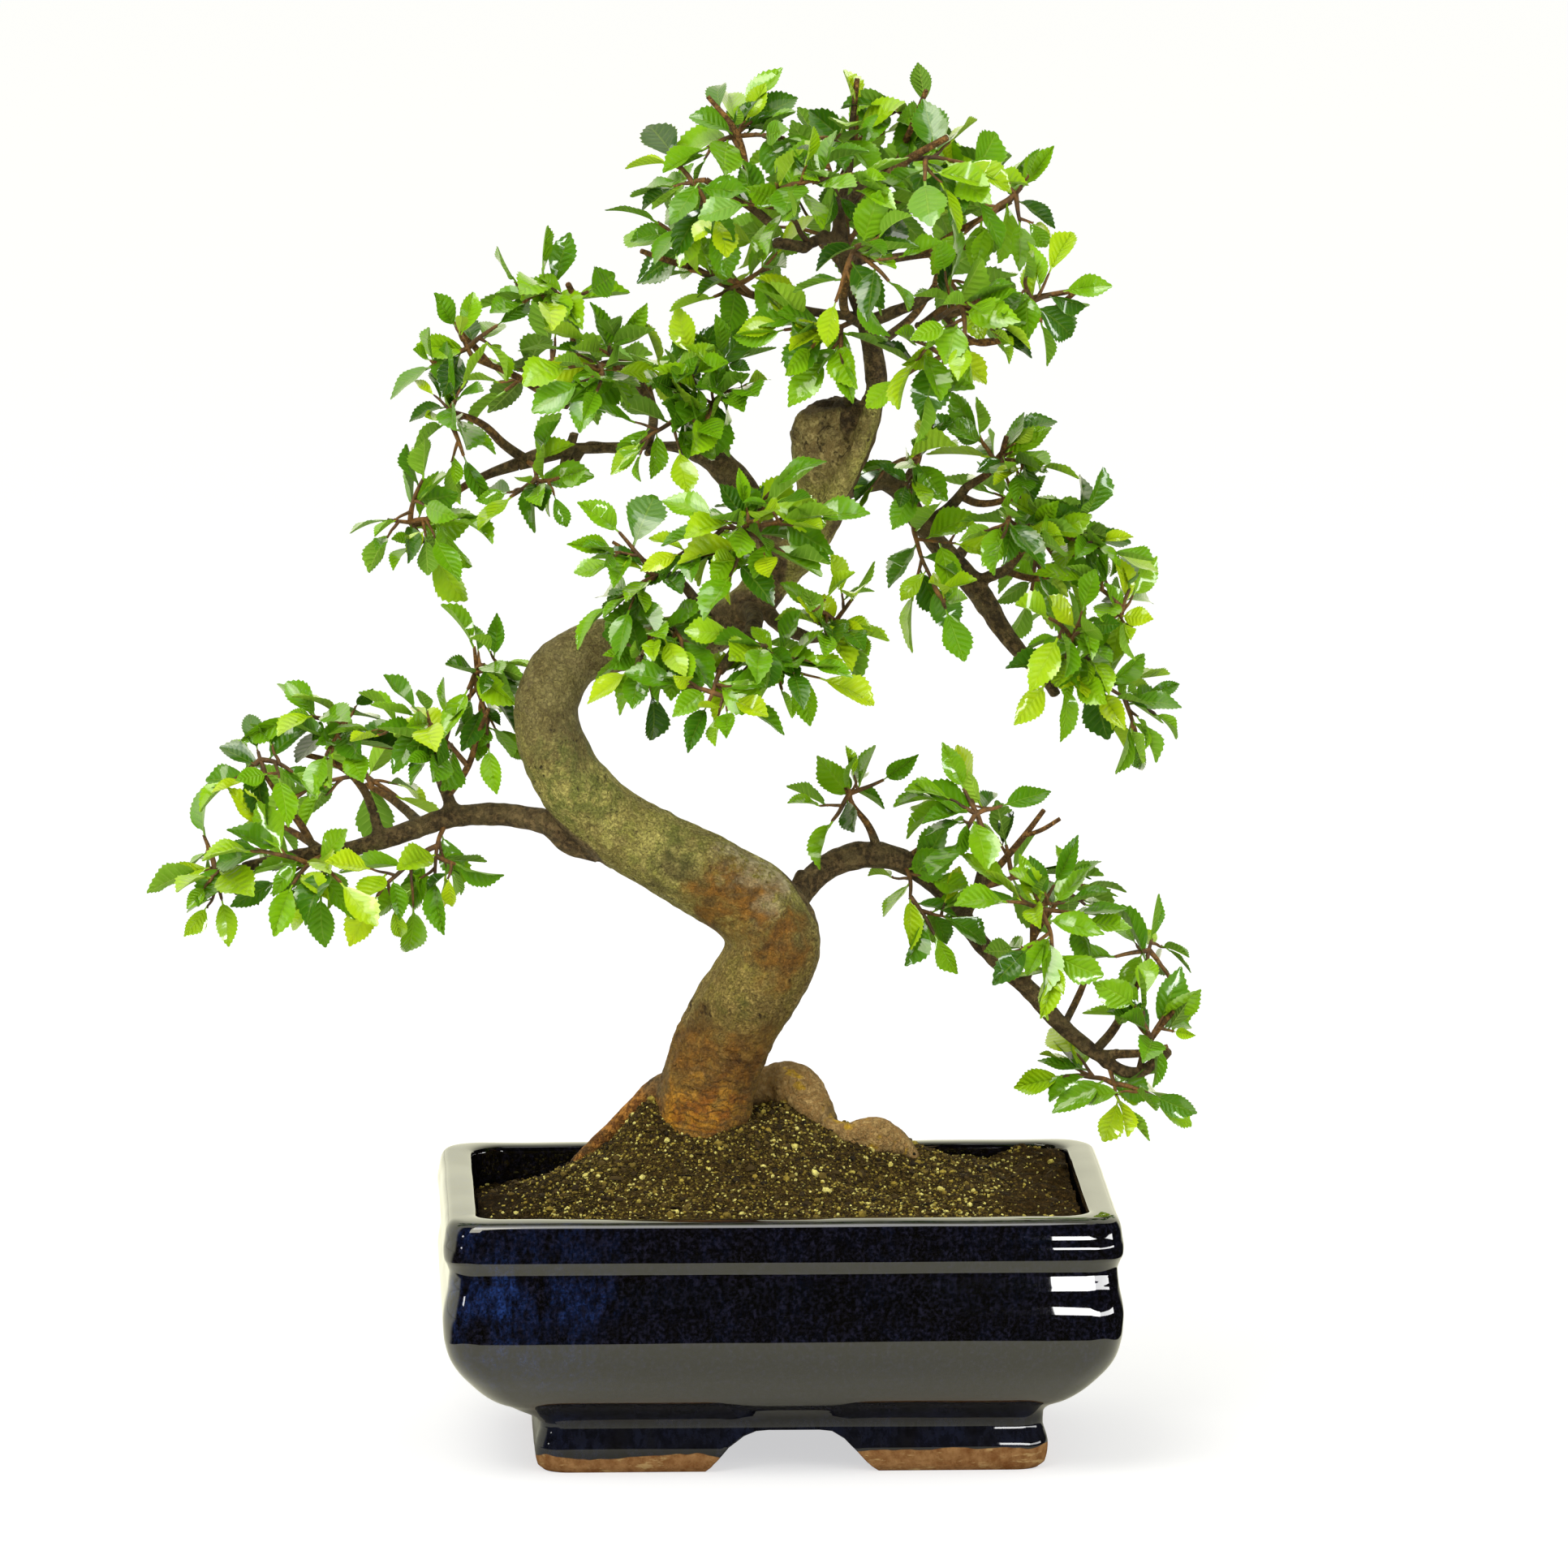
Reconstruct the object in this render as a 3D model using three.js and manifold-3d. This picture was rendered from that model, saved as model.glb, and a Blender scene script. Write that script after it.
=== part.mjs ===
// A potted bonsai: an S-curved trunk with its roots and branches, leafy sprays, soil and a glazed pot.
// Millimetres, +Z up, the front towards -Y.

import * as THREE from 'three';
import { mergeVertices } from 'three/addons/utils/BufferGeometryUtils.js';
import Module from 'manifold-3d';

const wasm = await Module();
wasm.setup();
const { Manifold, Mesh } = wasm;

// Sizes of the pot
const lipHalfWidth = 100;
const lipHalfDepth = 75;
const cornerRadius = 13;
const floorUnderside = 13;
const floorTop = 19;
const footShift = 3;             // the foot ring sits a little to the right of the bowl
const footInset = 24.5;          // from the lip to the outside of the foot ring
const footWall = 9;
const footCorner = 5;            // radius of the corners inside the foot ring
const archHalfWidth = 25.5;
const archHeight = 12.6;
const drainRadius = 7;
const drainPlaces = [-42, 42];   // along X, in the middle of the floor
const cornerSteps = 3;           // flat stretches round each corner of the pot

// How far the pot's skin stands in from the lip, and at what height: up the outside, then down the inside
const potOutside = [
  [27, 0], [24.8, 2.5], [24.2, 8], [25.6, 14.5], [21, 19], [16, 21.6], [12, 24.6], [8, 28.5], [4.6, 32.5],
  [2, 37], [0.4, 43], [0.2, 51], [1.8, 59], [0.3, 63.5], [0.1, 70], [1.4, 76], [4, 79],
];
const potInside = [[7.5, 78.8], [10.8, 75.5], [10.6, 50], [13, 36], [27, floorTop]];

// Sizes of what lies in the pot
const seatGap = 0.35;            // between pieces that touch on the real thing
const meshSide = 22;
const meshThick = 1.2;
const meshHole = 6;
const soilCells = [13, 9];       // along X and Y
const soilAllowance = 2;         // cut away again where the soil meets the pot

// Sizes of the leaves and twigs
const leafLength = 16.5;
const leafHalfWidth = 0.29;      // as a share of the length
const leafThick = 1.4;
const leafThickestAt = 0.38;
const leafSunk = 0.25;           // how far behind the twig's middle a leaf's root lies
const leafShare = 0.3;           // of the places for a leaf, how many get one
const leafSpacing = 5;           // along a twig
const leafTurn = [40, 64];       // degrees between a leaf and its twig
const bladeGap = 0.15;
const twigRadius = 0.95;
const shortTwig = 12;            // up to this reach a twig is straight
const longTwig = 22;             // past this reach it bears two side shoots
const shootLength = [7, 15];
const bowUp = 0.1;               // as shares of a twig's reach
const bowAside = 0.3;
const seatStep = 3;              // between the places where a twig can start
const finest = 0.1;              // edges shorter than this are closed up

// Half of a leaf's edge, from root to tip: the share of its length, and of its half width
const leafOutline = [[0, 0], [0.27, 0.72], [0.48, 1], [0.53, 0.82], [0.78, 0.72], [1, 0]];

// The wood, as points of each limb's middle line with the limb's radius there: [x, y, z, radius]
const wood = {
  trunk: [[-23, 3, 74, 18], [-23, 2, 87, 16.8], [-22, 2, 95, 15.4], [-21, 1, 104, 14.4],
    [-18, 0, 115, 14.1], [-12, -2, 129, 14.1], [-5, -3, 140, 14.2], [-1, -4, 151, 14.3],
    [-6, -4, 161, 13.5], [-16, -4, 168, 12.7], [-27, -5, 174, 12.1], [-38, -6, 180, 11.7],
    [-49, -7, 187, 11.3], [-58, -8, 196, 10.9], [-65, -9, 207, 10.3], [-68, -9, 219, 9.9],
    [-66, -8, 228, 9.6], [-61, -6, 235, 9.1], [-51, -3, 239, 8.4], [-40, 0, 240, 7.9],
    [-29, 2, 240, 7.5], [-18, 4, 243, 7], [-8, 5, 250, 6.6], [1, 6, 260, 6.2], [10, 6, 270, 6],
    [16, 6, 282, 6.2], [19, 6, 292, 7.5], [17, 6, 302, 10.8], [16, 6, 309, 11.3]],
  leader: [[13, 4, 276, 4.1], [20, 2, 288, 4.1], [25, 0, 299, 4], [29, -1, 310, 3.6], [29, 0, 320, 3.2],
    [27, 2, 329, 2.9], [24, 3, 338, 2.6], [21, 4, 348, 2.4], [19, 5, 357, 2.2], [19, 6, 368, 1.7],
    [22, 6, 380, 1.2]],
  crownRight: [[25, 2, 331, 2.4], [34, -6, 333, 2.2], [42, -12, 335, 1.8], [49, -16, 338, 1.6],
    [59, -18, 341, 1.3], [70, -20, 340, 1.1]],
  crownRightTwig: [[41, -11, 335, 1.1], [51, -22, 331, 1], [63, -26, 332, 0.8]],
  crownLeft: [[19, 5, 355, 2.2], [13, 2, 357, 1.9], [7, -4, 360, 1.8], [-1, -8, 364, 1.7],
    [-8, -10, 370, 1.4], [-15, -12, 374, 1.2], [-21, -12, 378, 1.1]],
  crownLeftUp: [[-7, -9, 369, 1.1], [-8, -5, 377, 1.1], [-10, -2, 385, 1]],
  crownStout: [[19, 6, 363, 1.8], [23, -6, 371, 1.7], [29, -16, 377, 1.6], [38, -24, 385, 1.3],
    [44, -28, 389, 1.1], [49, -30, 392, 1]],
  crownUp: [[20, 6, 367, 1.3], [29, 10, 375, 1.2], [37, 12, 382, 1], [43, 12, 393, 0.8]],
  crownEast: [[21, 5, 347, 1.9], [31, 10, 352, 1.7], [41, 14, 353, 1.4], [51, 16, 354, 1.3],
    [59, 16, 356, 1], [68, 16, 358, 0.7]],
  crownNorthEast: [[45, 15, 354, 1.2], [54, 13, 360, 1.1], [63, 12, 365, 1], [70, 12, 369, 0.8]],
  crownWest: [[25, 3, 336, 1.7], [11, 8, 337, 1.4], [-1, 11, 340, 1.3], [-13, 13, 344, 1.2],
    [-25, 13, 350, 1.1], [-38, 13, 354, 0.8]],
  crownFront: [[25, 2, 334, 1.6], [20, -14, 339, 1.4], [19, -26, 347, 1.3], [21, -36, 357, 1]],
  crownBack: [[23, 4, 340, 1.8], [23, 20, 343, 1.6], [20, 34, 349, 1.3], [15, 46, 353, 0.8]],
  crownBackRight: [[27, 3, 326, 1.7], [35, 20, 329, 1.4], [43, 34, 334, 1.2], [49, 46, 341, 0.8]],
  upperLeft: [[1, 6, 260, 4.8], [-4, 12, 271, 5], [-8, 16, 281, 4.8], [-14, 19, 289, 4.6],
    [-22, 22, 295, 4.3], [-33, 24, 298, 4], [-45, 26, 297, 3.7], [-57, 27, 296, 3.4],
    [-67, 27, 293, 2.8], [-76, 26, 290, 2.2], [-85, 24, 287, 1.4], [-93, 22, 283, 1.1],
    [-102, 20, 275, 0.8], [-112, 20, 268, 0.6]],
  upperLeftA: [[-34, 24, 298, 2.6], [-35, 23, 304, 2.3], [-37, 20, 310, 1.7], [-42, 16, 318, 1.1]],
  upperLeftB: [[-54, 26, 296, 2.6], [-60, 24, 303, 2.3], [-62, 22, 310, 1.9], [-59, 20, 321, 1.6],
    [-59, 18, 334, 1.1]],
  upperLeftC: [[-61, 22, 308, 1.6], [-69, 16, 313, 1.3], [-78, 8, 319, 1.1], [-89, 4, 324, 0.8]],
  upperLeftD: [[-73, 27, 291, 1.8], [-80, 18, 297, 1.4], [-87, 12, 304, 1.1], [-97, 10, 308, 0.8]],
  upperLeftE: [[-25, 22, 296, 1.9], [-22, 18, 303, 1.3], [-18, 14, 309, 1]],
  upperLeftBack: [[-51, 26, 297, 2.2], [-55, 40, 301, 1.7], [-60, 52, 308, 1.2], [-67, 60, 313, 0.8]],
  upperLeftBackRight: [[-37, 25, 297, 1.9], [-35, 40, 302, 1.4], [-36, 52, 309, 1.1],
    [-38, 60, 316, 0.7]],
  right: [[17, 9, 284, 4.8], [26, 14, 286, 4.1], [33, 18, 286, 3.6], [38, 22, 282, 3.4],
    [42, 25, 275, 3.2], [47, 27, 268, 3.2], [53, 28, 261, 3.4], [59, 28, 254, 3.6], [64, 27, 247, 3.4],
    [69, 25, 239, 2.9], [75, 22, 232, 2.4], [81, 20, 226, 2], [84, 18, 221, 1.7]],
  rightFork: [[75, 22, 232, 1.7], [85, 17, 231, 1.8], [94, 12, 236, 1.7], [101, 8, 241, 1.3],
    [107, 5, 245, 1.1]],
  rightA: [[60, 28, 254, 2], [69, 22, 258, 1.7], [73, 16, 264, 1.3]],
  rightB: [[45, 26, 271, 2.2], [52, 20, 277, 1.9], [57, 14, 284, 1.6], [63, 12, 288, 1.2]],
  rightC: [[38, 21, 283, 1.7], [42, 20, 290, 1.4], [44, 18, 297, 1.1], [47, 16, 303, 0.7]],
  rightD: [[55, 17, 281, 1.3], [62, 6, 280, 1.2], [72, 0, 283, 1]],
  rightE: [[68, 23, 258, 1.2], [79, 20, 256, 1.1], [89, 16, 262, 0.8]],
  rightBack: [[54, 28, 260, 1.9], [59, 42, 264, 1.6], [67, 54, 266, 1.2], [77, 62, 266, 0.8]],
  centreLow: [[-10, 5, 249, 3.6], [-7, -10, 249, 2.9], [-8, -24, 246, 2.5], [-13, -36, 242, 2.2],
    [-18, -44, 237, 1.4]],
  centreRight: [[-5, 5, 252, 2.6], [1, -8, 246, 2.4], [9, -16, 243, 1.9], [17, -22, 244, 1.4],
    [24, -26, 243, 1]],
  centreLeft: [[-19, 4, 244, 2.4], [-24, -14, 254, 1.8], [-30, -26, 262, 1.3], [-36, -32, 266, 0.8],
    [-49, -34, 274, 0.5]],
  centreTop: [[2, 6, 261, 1.9], [-2, -10, 266, 1.6], [-5, -24, 273, 1.2], [-7, -34, 280, 0.8]],
  lowerLeft: [[-61, -4, 185, 4.1], [-70, 0, 187, 3.8], [-79, 4, 188, 3.5], [-89, 6, 188, 3.4],
    [-97, 7, 187, 3.4], [-106, 7, 184, 3.1], [-115, 6, 181, 2.9], [-126, 5, 178, 2.5],
    [-137, 4, 177, 2.3], [-148, 3, 175, 2], [-158, 3, 173, 1.8]],
  lowerLeftA: [[-95, 7, 188, 2.2], [-98, 9, 196, 2], [-100, 11, 203, 1.9], [-98, 11, 210, 1.6],
    [-96, 11, 215, 1.1], [-88, 8, 226, 0.7]],
  lowerLeftB: [[-97, 8, 193, 1.1], [-91, 2, 203, 1], [-88, -2, 213, 0.8], [-85, -5, 221, 0.6]],
  lowerLeftC: [[-99, 11, 204, 1.2], [-108, 9, 207, 1.1], [-118, 7, 209, 1], [-127, 5, 211, 0.7]],
  lowerLeftD: [[-117, 6, 181, 1.8], [-119, 6, 189, 1.6], [-122, 5, 196, 1.3], [-129, 4, 203, 1.1],
    [-141, 4, 207, 0.8]],
  lowerLeftE: [[-136, 4, 177, 1.4], [-140, 2, 185, 1.2], [-145, 0, 192, 1], [-151, -2, 201, 0.6]],
  lowerLeftBack: [[-105, 7, 185, 1.9], [-109, 22, 187, 1.6], [-115, 34, 190, 1.2],
    [-121, 42, 192, 0.8]],
  lowerLeftBackTip: [[-133, 4, 177, 1.4], [-139, 18, 179, 1.2], [-145, 30, 181, 0.8]],
  lowerRight: [[-1, 0, 155, 4.1], [7, 7, 163, 3.8], [13, 11, 169, 4], [21, 14, 173, 4.1],
    [30, 15, 174, 4.1], [38, 15, 172, 3.7], [46, 14, 167, 3.2], [53, 12, 160, 3], [59, 10, 151, 2.8],
    [67, 8, 142, 2.6], [76, 7, 134, 2.8], [84, 6, 125, 2.6], [92, 5, 118, 2.4], [99, 4, 113, 1.8]],
  lowerRightA: [[31, 14, 175, 1.7], [28, 12, 183, 1.1], [23, 11, 190, 0.7], [21, 10, 195, 0.5]],
  lowerRightB: [[56, 11, 155, 1.9], [60, 8, 164, 1.7], [62, 4, 174, 1.6], [61, 2, 184, 1.2]],
  lowerRightC: [[38, 15, 172, 1.2], [44, 10, 177, 1], [51, 6, 183, 0.7]],
  lowerRightD: [[74, 7, 135, 1.4], [76, 0, 144, 1.2], [76, -6, 156, 1]],
  lowerRightE: [[95, 5, 116, 1.7], [101, 6, 123, 1.4], [105, 6, 131, 1.2], [110, 6, 140, 0.8]],
  lowerRightF: [[96, 5, 115, 1.7], [102, 0, 116, 1.6], [109, -4, 117, 1.3], [116, -6, 119, 1]],
  lowerRightBack: [[53, 12, 159, 1.7], [60, 24, 162, 1.3], [69, 34, 163, 1]],
  lowerRightBackTip: [[86, 6, 124, 1.4], [91, 18, 131, 1.2], [95, 28, 138, 0.8]],
  rootLeft: [[-27, 4, 105, 5.5], [-34, 6, 103, 3.6], [-42, 8, 98, 2.6], [-51, 10, 91, 2.4],
    [-57, 12, 84, 2.2]],
  rootRight: [[-12, 14, 102, 6], [-2, 16, 102, 6], [6, 14, 101, 7.5], [11, 10, 96, 6], [14, 8, 90, 4.8],
    [16, 6, 81, 3.6]],
  rootFar: [[7, 10, 96, 3.6], [16, 6, 94, 3.4], [24, 4, 93, 4.8], [32, 2, 92, 6.7], [38, 0, 89, 5.5],
    [41, 0, 82, 3.6]],
};

// The leafy sprays of each pad of foliage. A spray is a list of twig ends: the first twig grows from
// the nearest wood, and the others from the spray's own twigs.
const pads = {
  crown: {
    middle: [24, 5, 357],
    sprays: [
      [[-16, 5, 397], [-7, 2, 394], [-20, -4, 387], [2, -8, 390]],
      [[24, 4, 395], [12, -12, 390], [32, 8, 390]],
      [[44, 9, 398], [50, 4, 386], [34, 2, 396]],
      [[54, -24, 384], [42, -38, 380], [58, -26, 374]],
      [[73, 12, 373], [61, 14, 378], [72, 4, 364], [56, 2, 361]],
      [[83, -24, 346], [77, -22, 337], [72, -30, 351]],
      [[56, -42, 344], [53, -44, 333], [63, -40, 337]],
      [[48, -26, 325], [36, -28, 321], [39, -36, 333]],
      [[10, -16, 329], [19, -20, 325], [2, -14, 334]],
      [[-12, 6, 347], [-2, -4, 351], [-25, 10, 349], [-18, 4, 342], [-34, 12, 363]],
      [[-27, -10, 377], [-19, -14, 366], [-29, -6, 383]],
      [[23, -52, 363], [16, -40, 345], [31, -50, 352]],
      [[-1, -32, 379], [11, -42, 380], [24, -40, 382]],
      [[22, 50, 365], [2, 40, 359], [15, 42, 383], [-6, 34, 347], [39, 38, 378], [53, 36, 368]],
      [[51, 52, 348], [59, 44, 335], [39, 50, 360]],
    ],
  },
  upperLeft: {
    middle: [-53, 28, 307],
    sprays: [
      [[-68, 16, 347], [-74, 8, 340], [-55, 10, 343]],
      [[-94, 5, 333], [-101, 4, 322], [-82, 10, 333]],
      [[-98, 2, 305], [-94, -6, 313], [-92, 6, 295]],
      [[-114, 14, 275], [-104, 6, 288], [-101, 18, 265], [-95, 6, 276]],
      [[-70, 6, 286], [-64, 0, 289], [-78, 4, 283]],
      [[-61, -4, 322], [-49, -6, 329], [-53, -12, 316]],
      [[-30, -4, 315], [-40, -6, 300], [-25, 0, 325]],
      [[-12, 0, 315], [-17, 4, 324], [-21, -6, 306]],
      [[-65, 58, 321], [-50, 62, 316], [-79, 52, 309], [-36, 56, 316]],
    ],
  },
  right: {
    middle: [67, 24, 259],
    sprays: [
      [[70, 12, 298], [61, 18, 298], [78, 0, 292]],
      [[43, 10, 295], [32, 4, 291], [40, 6, 285]],
      [[92, 12, 275], [99, 4, 266], [83, 4, 272]],
      [[77, 4, 274], [68, -8, 278], [66, -14, 272]],
      [[105, 8, 254], [100, 4, 246], [92, 0, 257]],
      [[90, -4, 243], [80, -10, 248], [93, 0, 234], [80, 2, 227]],
      [[104, 14, 221], [113, 16, 216], [108, 14, 209], [96, 18, 218]],
      [[47, 4, 256], [50, -2, 250]],
      [[80, 58, 269], [90, 54, 252], [71, 54, 282], [78, 56, 245]],
    ],
  },
  centre: {
    middle: [-6, -6, 248],
    sprays: [
      [[-38, -36, 263], [-47, -36, 277], [-49, -32, 255]],
      [[-42, -38, 243], [-38, -40, 231], [-29, -44, 244]],
      [[-22, -52, 228], [-13, -50, 229], [-29, -50, 234]],
      [[0, -46, 232], [9, -44, 239], [-6, -52, 245]],
      [[21, -30, 256], [19, -32, 244], [9, -36, 254]],
      [[-19, -36, 278], [-15, -44, 265], [-26, -34, 271], [-8, -42, 281]],
    ],
  },
  lowerLeft: {
    middle: [-126, 8, 189],
    sprays: [
      [[-89, 4, 238], [-81, 0, 233], [-91, 2, 226], [-85, 0, 209]],
      [[-106, -10, 220], [-98, -14, 209], [-119, -8, 215]],
      [[-129, 2, 218], [-142, 0, 218], [-133, -8, 208]],
      [[-153, 0, 208], [-160, -2, 200], [-143, -8, 203]],
      [[-170, 3, 172], [-164, 0, 164], [-169, 4, 182]],
      [[-143, -12, 170], [-129, -14, 171], [-155, -12, 180]],
      [[-101, -4, 170], [-118, -8, 166], [-95, -6, 175]],
      [[-124, 44, 201], [-112, 40, 189], [-138, 44, 191], [-150, 36, 180]],
    ],
  },
  lowerRight: {
    middle: [74, 8, 149],
    sprays: [
      [[22, 8, 195], [32, 4, 198], [17, 4, 186]],
      [[56, 2, 195], [67, 4, 190], [48, 0, 193], [54, -6, 181]],
      [[40, 4, 163], [47, 2, 152]],
      [[82, -8, 168], [89, -4, 159], [68, -14, 164], [81, -18, 143]],
      [[112, 8, 149], [101, 2, 145], [118, 10, 137]],
      [[115, -4, 128], [111, -10, 122], [106, -10, 132]],
      [[101, 0, 104], [86, 8, 108], [112, -4, 104]],
      [[79, 38, 166], [94, 40, 155], [70, 34, 174]],
    ],
  },
};

function toSolid(geometry) {
  const bare = geometry.index ? geometry.clone() : geometry;
  for (const name of Object.keys(bare.attributes)) {
    if (name !== 'position') bare.deleteAttribute(name);
  }
  const merged = mergeVertices(bare, 1e-4);
  return new Manifold(new Mesh({
    numProp: 3,
    vertProperties: new Float32Array(merged.attributes.position.array),
    triVerts: new Uint32Array(merged.index.array),
  }));
}

function toGeometry(solid) {
  const mesh = solid.getMesh();
  const geometry = new THREE.BufferGeometry();
  geometry.setAttribute('position', new THREE.BufferAttribute(mesh.vertProperties, 3));
  geometry.setIndex(new THREE.BufferAttribute(mesh.triVerts, 1));
  return geometry;
}

// A closed surface through rings of points, each ring turning the same way, with flat ends
function skin(rings) {
  const sides = rings[0].length;
  const last = (rings.length - 1) * sides;
  const index = [];
  for (let ring = 0; ring < rings.length - 1; ring++) {
    for (let side = 0; side < sides; side++) {
      const a = ring * sides + side;
      const b = ring * sides + ((side + 1) % sides);
      index.push(a, b, b + sides, a, b + sides, a + sides);
    }
  }
  for (let side = 1; side < sides - 1; side++) {
    index.push(0, side + 1, side, last, last + side, last + side + 1);
  }
  const geometry = new THREE.BufferGeometry().setFromPoints(rings.flat());
  geometry.setIndex(index);
  return geometry;
}

function box(width, depth, height, x, y, z) {
  return toSolid(new THREE.BoxGeometry(width, depth, height).translate(x, y, z));
}

// The pot

function roundedRing(halfX, halfY, radius, z, shiftX = 0) {
  const points = [];
  const corners = [[1, 1], [-1, 1], [-1, -1], [1, -1]];
  corners.forEach(([signX, signY], quarter) => {
    for (let step = 0; step <= cornerSteps; step++) {
      const angle = (quarter + step / cornerSteps) * Math.PI / 2;
      const x = signX * (halfX - radius) + radius * Math.cos(angle);
      const y = signY * (halfY - radius) + radius * Math.sin(angle);
      points.push(new THREE.Vector3(x + shiftX, y, z));
    }
  });
  return points;
}

function potRing([inset, z]) {
  const shift = z < floorTop ? footShift : 0;
  return roundedRing(lipHalfWidth - inset, lipHalfDepth - inset, cornerRadius - inset * 0.2, z, shift);
}

// The passage between the feet, under the pot from front to back
function archPassage() {
  const shape = new THREE.Shape();
  shape.moveTo(-archHalfWidth, -1);
  shape.lineTo(-archHalfWidth, 0);
  shape.bezierCurveTo(-archHalfWidth + 7, 7, -14, archHeight, -7, archHeight);
  shape.lineTo(8, archHeight);
  shape.bezierCurveTo(14, archHeight, archHalfWidth - 7, 4, archHalfWidth, 0);
  shape.lineTo(archHalfWidth, -1);
  shape.closePath();
  const depth = 2 * lipHalfDepth;
  const geometry = new THREE.ExtrudeGeometry(shape, { depth, bevelEnabled: false, curveSegments: 5 });
  geometry.rotateX(Math.PI / 2);
  return toSolid(geometry.translate(footShift, lipHalfDepth, 0));
}

function buildPot() {
  const bowl = toSolid(skin([...potOutside, ...potInside].map((level) => potRing(level))));
  const halfX = lipHalfWidth - footInset - footWall;
  const halfY = lipHalfDepth - footInset - footWall;
  const levels = [-1, floorUnderside];
  const recess = toSolid(skin(levels.map((z) => roundedRing(halfX, halfY, footCorner, z, footShift))));
  const drains = drainPlaces.map((x) => {
    const hole = new THREE.CylinderGeometry(drainRadius, drainRadius, floorTop, 20).rotateX(Math.PI / 2);
    return toSolid(hole.translate(x, 0, (floorUnderside + floorTop) / 2));
  });
  return Manifold.difference([bowl, recess, archPassage(), ...drains]);
}

function buildDrainMesh(x) {
  const z = floorTop + seatGap + meshThick / 2;
  const away = meshSide / 5;
  const holes = [];
  for (const i of [-1, 1]) {
    for (const j of [-1, 1]) {
      holes.push(box(meshHole, meshHole, 2 * meshThick, x + i * away, j * away, z));
    }
  }
  return Manifold.difference([box(meshSide, meshSide, meshThick, x, 0, z), ...holes]);
}

// The wood

function limbSides(radius) {
  if (radius > 7) return 10;
  if (radius > 2.8) return 5;
  return radius > 2.2 ? 4 : 3;
}

// A closed tube around a limb's points. Each ring lies halfway between the stretches that meet there,
// and its first corner is turned by the limb's own end, so that no two limbs' corners coincide.
function limb(points, grow = 0, sides = limbSides(points[0][3])) {
  const middles = points.map(([x, y, z]) => new THREE.Vector3(x, y, z));
  const stretches = middles.slice(1).map((point, i) => point.clone().sub(middles[i]).normalize());
  const turns = middles.map((_, i) => {
    const before = stretches[Math.max(0, i - 1)];
    const after = stretches[Math.min(stretches.length - 1, i)];
    return before.clone().add(after).normalize();
  });
  middles[0].addScaledVector(turns[0], -grow);
  middles[middles.length - 1].addScaledVector(turns[turns.length - 1], grow);
  let across = new THREE.Vector3(1, 0, 0);
  if (Math.abs(turns[0].x) > 0.8) across.set(0, 1, 0);
  const firstCorner = points[points.length - 1][0];
  const rings = middles.map((middle, i) => {
    across = across.clone().addScaledVector(turns[i], -across.dot(turns[i])).normalize();
    const over = turns[i].clone().cross(across);
    return Array.from({ length: sides }, (_, side) => {
      const angle = firstCorner + 2 * Math.PI * side / sides;
      const radius = points[i][3] + grow;
      return middle.clone().addScaledVector(across, radius * Math.cos(angle))
        .addScaledVector(over, radius * Math.sin(angle));
    });
  });
  return toSolid(skin(rings));
}

function buildWood(grow = 0) {
  return Manifold.union(Object.values(wood).map((points) => limb(points, grow)));
}

// The soil

// A bed lower towards both ends, heaped up round the trunk and the right-hand roots, and cloddy all over
function soilHeight(x, y) {
  const bed = 75 + 0.02 * x - 4 * (x / 88) ** 2;
  const heap = 25 * Math.exp(-(((x + 14) / 62) ** 2) - ((y + 4) / 38) ** 2);
  const shoulder = 11 * Math.exp(-(((x - 30) / 26) ** 2) - ((y - 10) / 24) ** 2);
  const clodsX = Math.sin(0.42 * x + 1.3 * Math.sin(0.31 * y));
  const clodsY = Math.sin(0.37 * y + 0.9 * Math.sin(0.23 * x));
  return bed + heap + shoulder + 0.7 * clodsX * clodsY;
}

function soilBlock() {
  const [cellsX, cellsY] = soilCells;
  const halfX = lipHalfWidth - potInside[1][0] + soilAllowance;
  const halfY = lipHalfDepth - potInside[1][0] + soilAllowance;
  const geometry = new THREE.BoxGeometry(2 * halfX, 2 * halfY, 1, cellsX, cellsY, 1);
  const places = geometry.attributes.position;
  for (let i = 0; i < places.count; i++) {
    const top = places.getZ(i) > 0;
    places.setZ(i, top ? soilHeight(places.getX(i), places.getY(i)) : floorTop - soilAllowance);
  }
  return toSolid(geometry);
}

function buildSoil(woodWithGap) {
  const aside = 1.5 * seatGap;
  const levels = potInside.slice(1).reverse();
  const rings = levels.map(([inset, z]) => potRing([inset + aside, z + seatGap]));
  const wellAboveLip = 2 * lipHalfDepth;
  rings.push(potRing([potInside[1][0] + aside, wellAboveLip]));
  const inside = toSolid(skin(rings));
  const room = meshSide + 2 * seatGap;
  const rooms = drainPlaces.map((x) => {
    const height = 2 * (meshThick + seatGap);
    return box(room, room, height, x, 0, floorTop + seatGap);
  });
  const bed = Manifold.intersection(inside, soilBlock());
  return Manifold.difference([bed, woodWithGap, ...rooms]);
}

// The sprays

// One number after another from a seed, the same in every run
function randomFrom(seed) {
  let state = seed * 7919 + 17;
  return () => {
    state = (state * 16807) % 2147483647;
    return state / 2147483647;
  };
}

const vector = ([x, y, z]) => new THREE.Vector3(x, y, z);

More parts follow.
